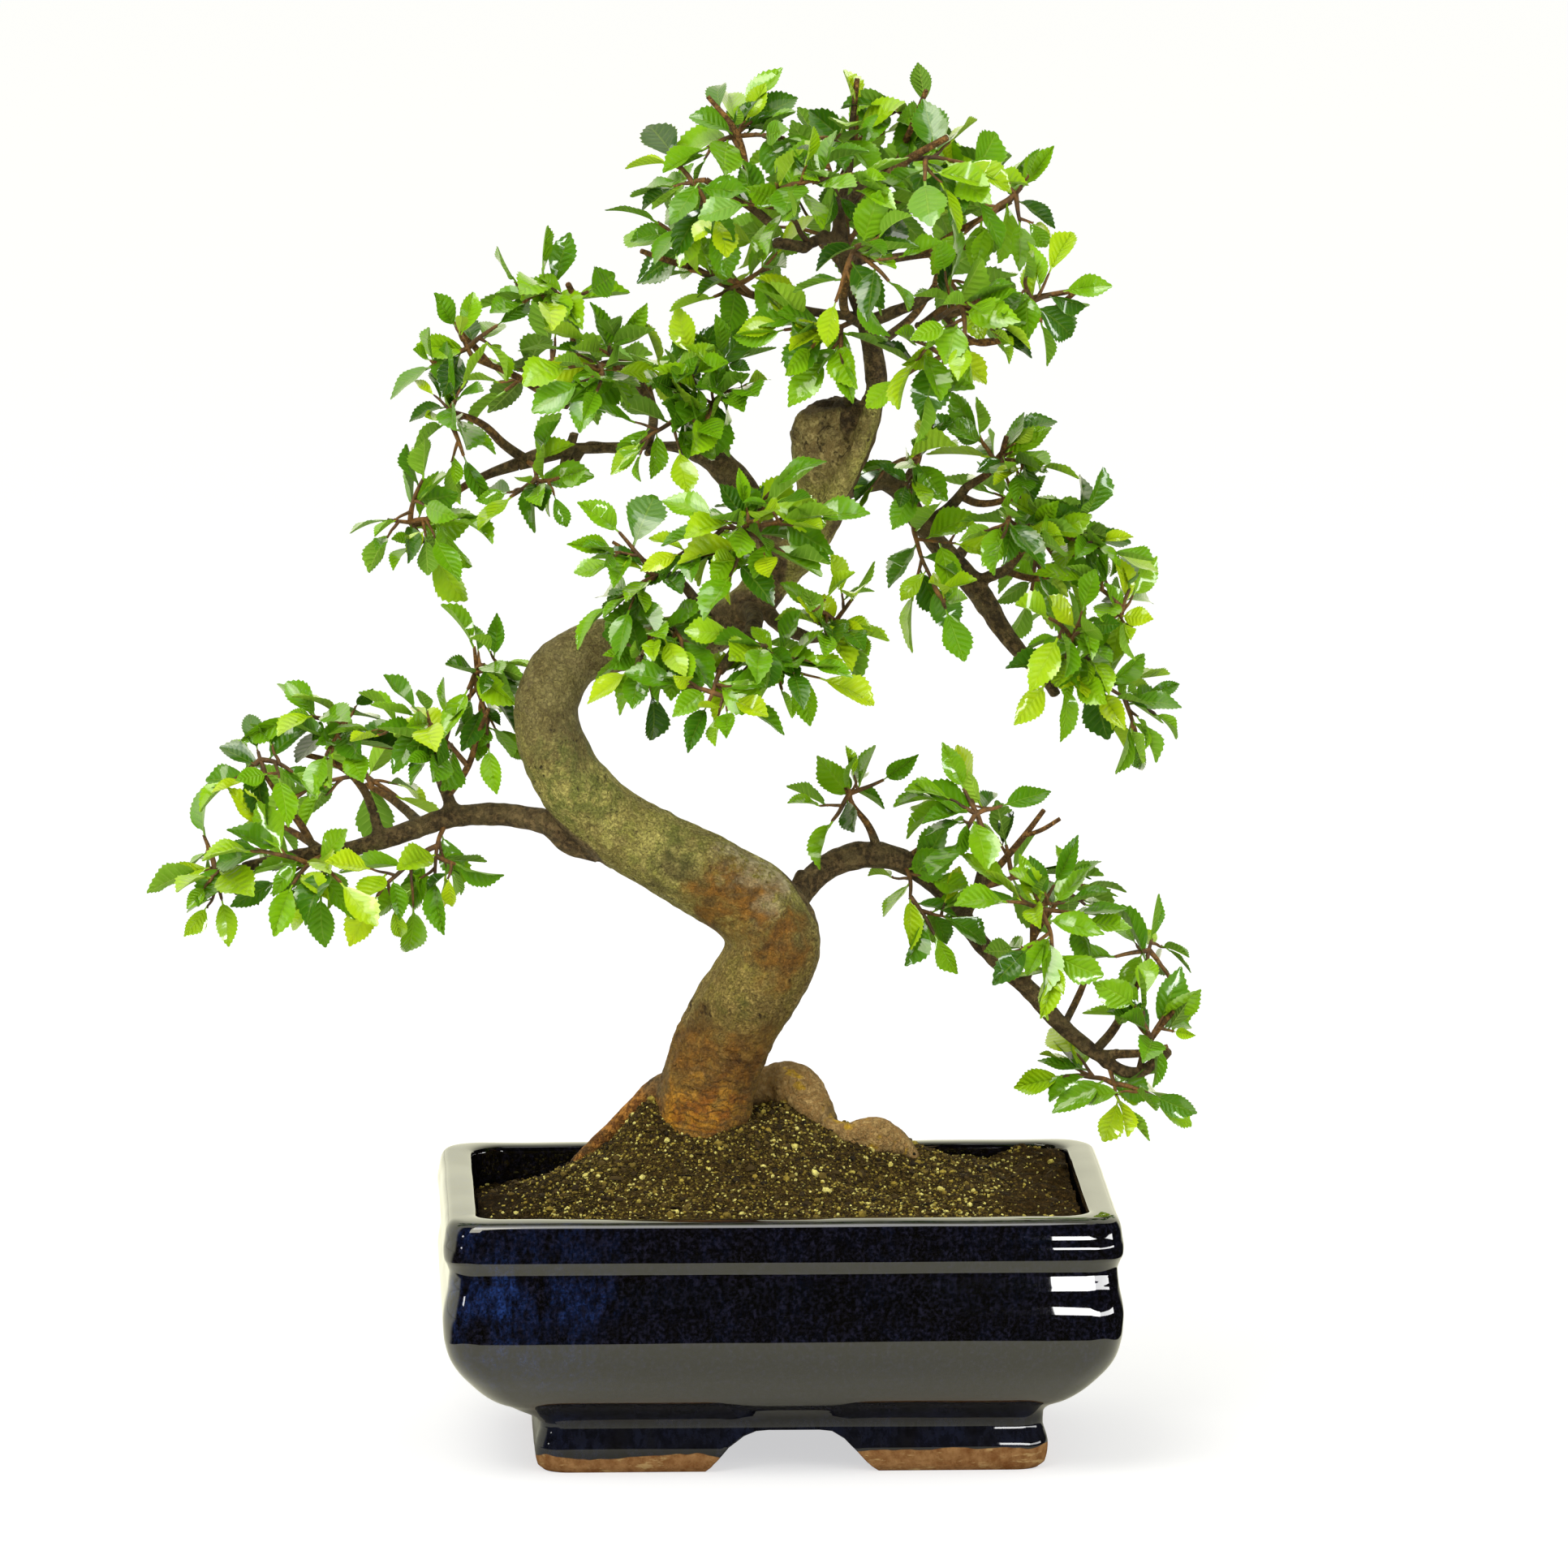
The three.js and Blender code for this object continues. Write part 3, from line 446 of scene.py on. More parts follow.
mottleGroup = makeGroup("mottle", mottleMask, {"Size mm": 5.0, "Cover": 0.5, "Softness": 0.08})
pitsGroup = makeGroup("pits", pitsMask, {"Size mm": 2.0, "Width": 0.3})


def useGroup(group, *values):
    return addNode("ShaderNodeGroup", dict(enumerate(values)), node_tree=group).outputs[0]


def mottle(place, size, softness=0.2, cover=0.5):
    return useGroup(mottleGroup, place, size, cover, softness)


def pits(place, size, width):
    return useGroup(pitsGroup, place, size, width)


def stretch(place, x, y, z):
    return addNode("ShaderNodeMapping", {"Vector": place, "Scale": (x, y, z)}).outputs[0]


def near(place, spot, far):  # 1 at a spot, and 0 past the given distance, both in millimetres
    away = vectorMaths("DISTANCE", place, intoFrame @ Vector(spot), output="Value")
    return spread(away, far * 0.00035, far * 0.001, 1.0, 0.0)


def makeGlaze():
    place = startMaterial("blue_black_glaze", Specular_IOR_Level=0.0, Coat_Roughness=0.03, Coat_IOR=1.62)
    x, y, z = splitUp(place)
    onFoot = spread(z, 0.022, 0.014)
    runs, streaks = mottle(stretch(place, 1, 1, 0.5), 10.0), mottle(stretch(place, 1, 1, 0.4), 1.9)
    streaky = spread(streaks, 0, 1, 0.35, 1.0)
    haze = times(mottle(place, 1.1, 0.12, 0.42), streaky)
    dark = blend(haze, (0.0015, 0.0013, 0.0013), (0.0095, 0.0090, 0.0210))
    blue = blend(mottle(place, 0.8), (0.003, 0.006, 0.040), (0.018, 0.048, 0.23))
    # Blue pools at the left end of the belly, on the outside only
    sideways, endways = (minus(half, maths("ABSOLUTE", minus(way, middle))) for way, middle, half in (
        (x, potMiddle.x, potHigh.x - potMiddle.x), (y, potMiddle.y, potHigh.y - potMiddle.y)))
    outside = larger(spread(maths("MINIMUM", sideways, endways), 0.0095, 0.0085), onFoot)
    belly = times(spread(z, 0.064, 0.060, 0.4, 1.0), spread(z, 0.044, 0.052, 0.35, 1.0))
    pool = times(spread(x, potMiddle.x - 0.035, potMiddle.x - 0.088), 0.85, belly)
    # The foot's glaze is thinner and duller, and its base colour is a little lighter grey, partly a painted soft
    # sheen
    foot = blend(runs, (0.007, 0.007, 0.010), (0.010, 0.012, 0.030))
    glazed = paint(dark, (blue, runs, streaks, plus(pool, 0.05), outside),
                   (foot, onFoot, spread(z, 0.004, 0.009), streaky))
    clay = paint(blend(mottle(place, 3.0, 0.25), (0.16, 0.066, 0.026), (0.30, 0.165, 0.080)),
                 ((0.46, 0.33, 0.17), mottle(stretch(place, 0.4, 0.4, 1.5), 2.4, 0.06, 0.3), 0.6),
                 ((0.09, 0.04, 0.02), pits(place, 1.2, 0.22), 0.45))
    edge = plus(spread(x, potMiddle.x - 0.03, potMiddle.x + 0.07, 0.0024, 0.0045),
                times(cloudAt(place, 70.0), 0.005))
    bare = spread(minus(z, edge), 0.0002, -0.0002)
    setShader(Base_Color=blend(bare, glazed, clay), Roughness=spread(bare, 0, 1, 0.16, 0.85),
          Coat_Weight=times(minus(1.0, bare), spread(onFoot, 0, 1, 1.0, 0.55)))
    addBump((cloudAt(stretch(place, 1, 1, 1.6), 130.0), 0.35, 0.5), (cloudAt(place, 750.0, 1.0), 0.45, 0.09),
            (minus(1.0, pits(place, 9.0, 0.035)), 0.3, 0.2),
            (times(mottle(place, 0.8, 0.08), bare), 0.6, 0.3))
    return bench["material"]


def makeSoilFinish():
    place = startMaterial("dark_peat", Roughness=0.95, Specular_IOR_Level=0.1)
    crumbs, dust = mottle(place, 1.3, 0.15), mottle(place, 0.5, 0.08, 0.35)
    # Packed grit: every cell has its own tone, and the gaps between them are dark
    cells = addNode("ShaderNodeTexVoronoi", {"Vector": place, "Scale": 820.0}).outputs
    packed = colours(splitUp(cells["Color"])[0], (0, 0.008, 0.005, 0.002), (1, 0.46, 0.40, 0.10),
                     (0.42, 0.034, 0.021, 0.005), (0.66, 0.105, 0.075, 0.014), (0.85, 0.28, 0.21, 0.036))
    gritty = times(mark("gritty"), spread(cells["Distance"], 0.5, 0.25))
    base = paint(blend(mottle(place, 5.0), (0.011, 0.006, 0.002), (0.036, 0.020, 0.005)),
                 ((0.070, 0.040, 0.011), crumbs), (packed, gritty, 0.9))
    leftEnd = spread(splitUp(place)[0], potMiddle.x - 0.042, potMiddle.x - 0.062)
    base = blend(times(leftEnd, 0.75), base, (0.3, 0.28, 0.25), "MULTIPLY")
    setShader(Base_Color=paint(base, ((0.34, 0.25, 0.055), dust, mark("gritty"), 0.6)))
    addBump((crumbs, 1.0, 1.0), (gritty, 0.9, 0.7), (dust, 0.8, 0.4))
    return bench["material"]


def makeGritFinish():
    place = startMaterial("tan_grit", Roughness=0.8, Specular_IOR_Level=0.15)
    tint = colours(mark("tone"), (0, 0.008, 0.005, 0.002), (1, 0.68, 0.62, 0.22), (0.24, 0.026, 0.015, 0.004),
                   (0.46, 0.060, 0.038, 0.009), (0.64, 0.14, 0.098, 0.019), (0.79, 0.32, 0.235, 0.036),
                   (0.91, 0.50, 0.43, 0.105))
    stain = mottle(place, 1.0, 0.2, 0.4)
    setShader(Base_Color=paint(tint, ((0.05, 0.032, 0.014), stain, 0.6)))
    addBump((stain, 0.5, 0.2))
    return bench["material"]


def makeMeshFinish():
    worn = mottle(startMaterial("black_plastic_mesh", Roughness=0.5), 2.0)
    setShader(Base_Color=blend(worn, (0.006, 0.006, 0.006), (0.016, 0.015, 0.014)))
    addBump((worn, 0.3, 0.1))
    return bench["material"]


barkSpots = {  # where the bark changes colour, with each spot's reach, in millimetres
    "rust": [((-14, -17, 165), 17), ((1, -18, 149), 13), ((-8, -15, 117), 13), ((-29, -10, 120), 13)],
    "ochre": [((-18, -15, 101), 17), ((-34, -10, 101), 11)],
    "dark": [((4, -18, 155), 12), ((-11, -14, 111), 9), ((-30, -16, 173), 12), ((12, 0, 158), 10),
             ((-20, -17, 160), 9), ((-24, -13, 128), 7)],
    "green": [((-58, -18, 201), 22), ((-12, -17, 131), 7), ((-30, -17, 178), 14)],
    "pale": [((-4, -15, 173), 17)],
    "grey": [((-65, -16, 232), 36), ((-30, 2, 243), 30)],
    "knob": [((6, 12, 104), 17), ((32, -3, 94), 20), ((22, -1, 93), 15)],
    "redRoot": [((-46, 8, 98), 20), ((-58, 12, 88), 14)],
    "stub": [((14, 1, 303), 21)],
}


def makeBark():
    place = startMaterial("grey_olive_bark", Specular_IOR_Level=0.18)
    girth, height = mark("girth"), splitUp(place)[2]
    cloud = vectorMaths("SUBTRACT", cloudAt(place, 120.0, 3.0, 1), (0.5, 0.5, 0.5))
    ragged = vectorMaths("ADD", place, vectorMaths("SCALE", cloud, 0.022, "Scale"))

    def spots(kind):
        return reduce(larger, (near(ragged, *spot) for spot in barkSpots[kind]), 0.0)

    rings = maths("SINE", plus(times(mark("along"), 2.2), times(cloudAt(place, 160.0, 3.0), 18.0)))
    rings = spread(rings, 0.0, 0.95)
    browner, patches = mottle(ragged, 11.0, 0.1, 0.38), mottle(place, 5.5, 0.1)
    flecks, dust = mottle(place, 1.7, 0.1), mottle(place, 0.7, 0.12, 0.45)
    scars = mottle(stretch(ragged, 1, 1, 1.7), 3.2, 0.04, 0.30)
    cracks = mottle(stretch(ragged, 1, 1, 0.45), 3.4, 0.04, 0.34)
    dots = times(pits(ragged, 5.5, 0.2), mottle(place, 22.0, 0.04, 0.55))
    olive = paint(
        blend(mottle(place, 17.0, 0.14), (0.255, 0.215, 0.062), (0.42, 0.38, 0.115)),
        ((0.285, 0.29, 0.055), patches, 0.55), ((0.18, 0.115, 0.046), browner, 0.55),
        ((0.49, 0.43, 0.16), flecks, 0.4), ((0.105, 0.082, 0.030), dust, 0.6),
        ((0.080, 0.056, 0.024), scars, 0.7),
        # Darker and browner at the first big bend, green and dark patches, and a pale scuffed shoulder
        (blend(patches, (0.10, 0.072, 0.034), (0.19, 0.15, 0.08)), spots("grey"), 0.7),
        ((0.085, 0.115, 0.022), spots("green"), patches, 0.6), ((0.52, 0.44, 0.32), spots("pale"), browner),
        ((0.55, 0.47, 0.33), spots("pale"), times(flecks, 0.7)), ((0.060, 0.042, 0.020), spots("dark"), 0.6),
        ((0.030, 0.020, 0.010), dots, 0.9))
    olive = blend(times(spread(height, 0.164, 0.146), 0.9), olive, (0.78, 0.64, 0.60), "MULTIPLY")
    # Brown towards the foot with crosswise bands, rusty flaking patches, and ochre just above the soil
    foot = spread(height, 0.137, 0.112)
    flakes = mottle(stretch(ragged, 1, 1, 1.6), 10.0, 0.14, 0.62)
    brown = blend(patches, (0.140, 0.066, 0.015), (0.270, 0.145, 0.030))
    rust = blend(mottle(place, 3.2), (0.065, 0.030, 0.009), (0.30, 0.130, 0.018))
    ochre = paint(blend(patches, (0.31, 0.105, 0.011), (0.58, 0.255, 0.018)),
                  ((0.080, 0.036, 0.010), rings, 0.6))
    # Dead wood round the old cut, with dark crevices
    dead = paint(blend(flecks, (0.21, 0.15, 0.058), (0.38, 0.30, 0.13)), ((0.10, 0.066, 0.030), patches, 0.6),
                 ((0.030, 0.018, 0.008), cracks, 0.85))
    thick = paint(olive, (brown, foot, 0.75), ((0.090, 0.052, 0.022), foot, 0.45, rings),
                  (brown, spots("rust"), 0.7), (rust, spots("rust"), 0.9, flakes),
                  (ochre, spots("ochre"), 0.9, flakes), (dead, spots("stub")))
    # Branches are dark brown, and the youngest twigs orange-brown
    branch = paint(blend(flecks, (0.052, 0.034, 0.018), (0.16, 0.105, 0.052)),
                   ((0.22, 0.165, 0.080), patches, 0.4))
    twig = blend(flecks, (0.10, 0.048, 0.018), (0.26, 0.13, 0.040))
    # The surface roots are skin-coloured with ochre spots, the left one reddish brown, and soil sticks to all
    skin = paint(blend(flecks, (0.36, 0.21, 0.080), (0.50, 0.33, 0.145)),
                 ((0.21, 0.115, 0.040), patches, 0.3), ((0.58, 0.35, 0.03), pits(ragged, 9.0, 0.3)))
    redRoot = blend(flecks, (0.17, 0.062, 0.015), (0.46, 0.200, 0.042))
    cutFace = blend(patches, (0.05, 0.03, 0.018), (0.14, 0.095, 0.05))
    colour = paint(branch, (thick, spread(girth, 4.2, 7.4)), (twig, spread(girth, 1.7, 1.0)),
                   (skin, spots("knob")), (redRoot, spots("redRoot")),
                   ((0.060, 0.040, 0.016), spread(height, 0.098, 0.084), patches, 0.75),
                   (cutFace, mark("cut")))
    setShader(Base_Color=colour, Roughness=spread(dust, 0, 1, 0.62, 0.88))
    addBump((patches, 0.5, 0.8), (flecks, 0.9, 0.55), (dust, 0.8, 0.35), (times(rings, foot), 0.4, 0.5),
            (minus(1.0, dots), 0.8, 0.6), (minus(1.0, larger(scars, cracks)), 0.7, 0.6))
    return bench["material"]


def makeTwigBark():
    place = startMaterial("orange_brown_twig", Roughness=0.6, Specular_IOR_Level=0.3)
    flecks = mottle(place, 1.0, 0.15)
    base = blend(mottle(place, 9.0, 0.15), (0.085, 0.045, 0.019), (0.27, 0.125, 0.032))
    setShader(Base_Color=paint(base, ((0.036, 0.02, 0.01), flecks, 0.5)))
    addBump((flecks, 0.6, 0.3))
    return bench["material"]


def makeLeafFinish():
    place = startMaterial("glossy_leaf", Specular_IOR_Level=0.15, Coat_Roughness=0.09)
    along, aside, _ = splitUp(addNode("ShaderNodeUVMap", uv_map="UVMap").outputs[0])
    away = maths("ABSOLUTE", minus(times(aside, 2.0), 1.0))
    # Side veins leave the midrib at a slant, about seven on each side
    comb = maths("PINGPONG", times(minus(along, times(away, 0.17)), 8.0), 0.5)
    fade, midrib = spread(away, 1.0, 0.35), spread(away, 0.075, 0.03)
    veins = larger(times(spread(comb, 0.13, 0.02), fade, 0.6), midrib)
    under, cells = mark("underside"), mottle(place, 0.8)
    green = colours(mark("tone"), (0, 0.015, 0.056, 0.002), (1, 0.42, 0.58, 0.006),
                    (0.25, 0.043, 0.146, 0.003), (0.5, 0.106, 0.280, 0.003), (0.75, 0.218, 0.44, 0.004))
    green = blend(times(mottle(place, 4.0, 0.25), 0.35), green, (0.5, 0.75, 0.4), "MULTIPLY")
    green = blend(times(cells, 0.2), green, (1.25, 1.15, 1.0), "MULTIPLY")
    top = paint(green, ((0.40, 0.56, 0.06), veins, 0.15), ((0.34, 0.46, 0.06), spread(away, 0.93, 1.0), 0.3))
    below = paint(green, ((0.22, 0.39, 0.045), 0.45), ((0.40, 0.56, 0.11), veins, 0.4))
    setShader(Base_Color=blend(under, top, below), Roughness=spread(under, 0, 1, 0.28, 0.6),
          Coat_Weight=spread(under, 0, 1, 0.95, 0.0))
    quilt = minus(times(spread(comb, 0.0, 0.5), fade), times(midrib, 0.8))
    addBump((times(quilt, spread(under, 0, 1, 1.0, -1.0)), 0.5, 0.5), (cells, 0.3, 0.15))
    return bench["material"]


glaze, peat, grit, meshPlastic = makeGlaze(), makeSoilFinish(), makeGritFinish(), makeMeshFinish()
bark, twigBark, leafFinish = makeBark(), makeTwigBark(), makeLeafFinish()
print("finishes: glaze, peat, grit, mesh, bark, twig and leaf are made")


# Pot


pot = {
    "lipHalf": (100, 75), "footShift": 3, "footCorner": 7.6, "cornerSteps": 8, "sideCuts": 14,
    "outside": [(27, 0), (24.8, 2.5), (24.2, 8), (25.6, 14.5), (21, 19), (16, 21.6), (12, 24.6), (8, 28.5),
                (4.6, 32.5), (2, 37), (0.55, 42), (0.15, 45.5), (0.02, 48.6), (0.12, 50.8), (0.4, 53),
                (0.75, 55), (1.3, 57.8), (1.5, 59.6), (1.72, 61.4), (1.78, 63), (1.1, 65), (0.25, 67),
                (0.1, 70), (0.5, 72.5), (1.1, 76), (2.4, 78.2), (4.6, 79)],
    "inside": [(9.3, 79), (10.7, 77.4), (10.6, 72), (10.6, 50), (13, 36), (27, 19)],
    "footInset": 20, "footBelow": 30, "footFades": (14.5, 18.9), "footWall": 9, "underside": 13,
    "edgeRound": 0.7, "sharpEdge": 38, "unevenness": 0.5, "unevenAbove": 2, "smooth": 35,
    "archLeft": [(-25.5, -1), (-25.5, 0), (-22.2, 3.2), (-18.6, 7.6), (-14.2, 10.9), (-10.6, 12.3),
                 (-7, 12.6)],
    "archRight": [(8, 12.6), (11.7, 12.2), (15.3, 10.1), (18.9, 6.4), (22.2, 2.6), (25.5, 0), (25.5, -1)],
    "drains": (-42, 42), "drainRadius": 7, "drainDepth": 19, "drainMiddle": 16,
}


def makePot():
    halfX, halfY = pot["lipHalf"]
    levels = throughPoints(pot["outside"] + pot["inside"], 4)
    inset, z = levels[0]
    nothingSelected()
    bpy.ops.mesh.primitive_plane_add(size=1, location=(0, 0, 0))
    bowl = bpy.context.object
    bowl.scale = (2 * (halfX - inset), 2 * (halfY - inset), 1)
    bowl.location = (pot["footShift"], 0, 0)
    applyPlace()
    bpy.ops.object.mode_set(mode="EDIT")
    bpy.ops.mesh.select_all(action="SELECT")
    bpy.ops.mesh.bevel(affect="VERTICES", offset=pot["footCorner"], segments=pot["cornerSteps"])
    mesh = bmesh.from_edit_mesh(bowl.data)
    sides = [edge for edge in mesh.edges if edge.calc_length() > 2 * pot["footCorner"]]
    bmesh.ops.subdivide_edges(mesh, edges=sides, cuts=pot["sideCuts"])
    bmesh.update_edit_mesh(bowl.data)
    bpy.ops.mesh.select_mode(type="FACE")
    bpy.ops.mesh.select_all(action="SELECT")
    shift = pot["footShift"]
    for nextInset, nextZ in levels[1:]:
        outer = nextInset < pot["footInset"] or nextZ > pot["footBelow"]
        nextShift = 0 if outer else pot["footShift"] * float(1 - smoothStep(nextZ, *pot["footFades"]))
        extrudeFaces(nextShift - shift, 0, nextZ - z)
        wider = (halfX - nextInset) / (halfX - inset)
        deeper = (halfY - nextInset) / (halfY - inset)
        bpy.ops.transform.resize(value=(wider, deeper, 1), center_override=(nextShift, 0, nextZ))
        inset, z, shift = nextInset, nextZ, nextShift
    editFaces(bowl, lambda face: face.calc_center_median().z < 0.01)
    bpy.ops.mesh.inset(thickness=pot["footWall"], depth=0)
    extrudeFaces(0, 0, pot["underside"])
    closeUp()
    tools = [makeArchTool(), *(makeDrainTool(x) for x in pot["drains"])]
    for tool in tools:
        applyTo(bowl, "BOOLEAN", operation="DIFFERENCE", object=tool, solver="EXACT")
    removeAll(tools)
    applyTo(bowl, "BEVEL", width=pot["edgeRound"], segments=2, limit_method="ANGLE",
            angle_limit=math.radians(pot["sharpEdge"]))
    places, normals = readPlaces(bowl), readNormals(bowl)
    for index, (place, normal) in enumerate(zip(places, normals)):
        if place[2] > pot["unevenAbove"]:  # hand-made unevenness, always inwards
            push = 0.5 + 0.5 * noise.noise(Vector(place) / 26) + 0.2 * noise.noise(Vector(place) / 9)
            places[index] = place - normal * max(0.02, pot["unevenness"] * push)
    setPlaces(bowl.data, places)
    smoothTo(bowl, pot["smooth"])
    settle(bowl, "glazed_pot", ["pot"], [glaze])


def makeArchTool():
    outline = pot["archLeft"] + pot["archRight"]
    bpy.ops.mesh.primitive_circle_add(vertices=len(outline), fill_type="NGON", location=(0, 0, 0))
    tool = bpy.context.object
    reach = 2 * pot["lipHalf"][1]
    for vertex, (x, z) in zip(tool.data.vertices, outline):
        vertex.co = (x + pot["footShift"], -reach / 2, z)
    editFaces(tool, lambda face: True)
    extrudeFaces(0, reach, 0)
    closeUp()
    return tool


def makeDrainTool(x):
    bpy.ops.mesh.primitive_cylinder_add(vertices=32, radius=pot["drainRadius"], depth=pot["drainDepth"],
                                        location=(x, 0, pot["drainMiddle"]))
    return applyPlace()


makePot()
for number in (1, 2):
    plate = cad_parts[f"drain_mesh_{number}"]
    plate.material_slots[0].link = "OBJECT"
    plate.material_slots[0].material = meshPlastic
print("pot: bowl, foot ring, arch and drain holes are made")


# Wood: each limb's middle line with its radius there

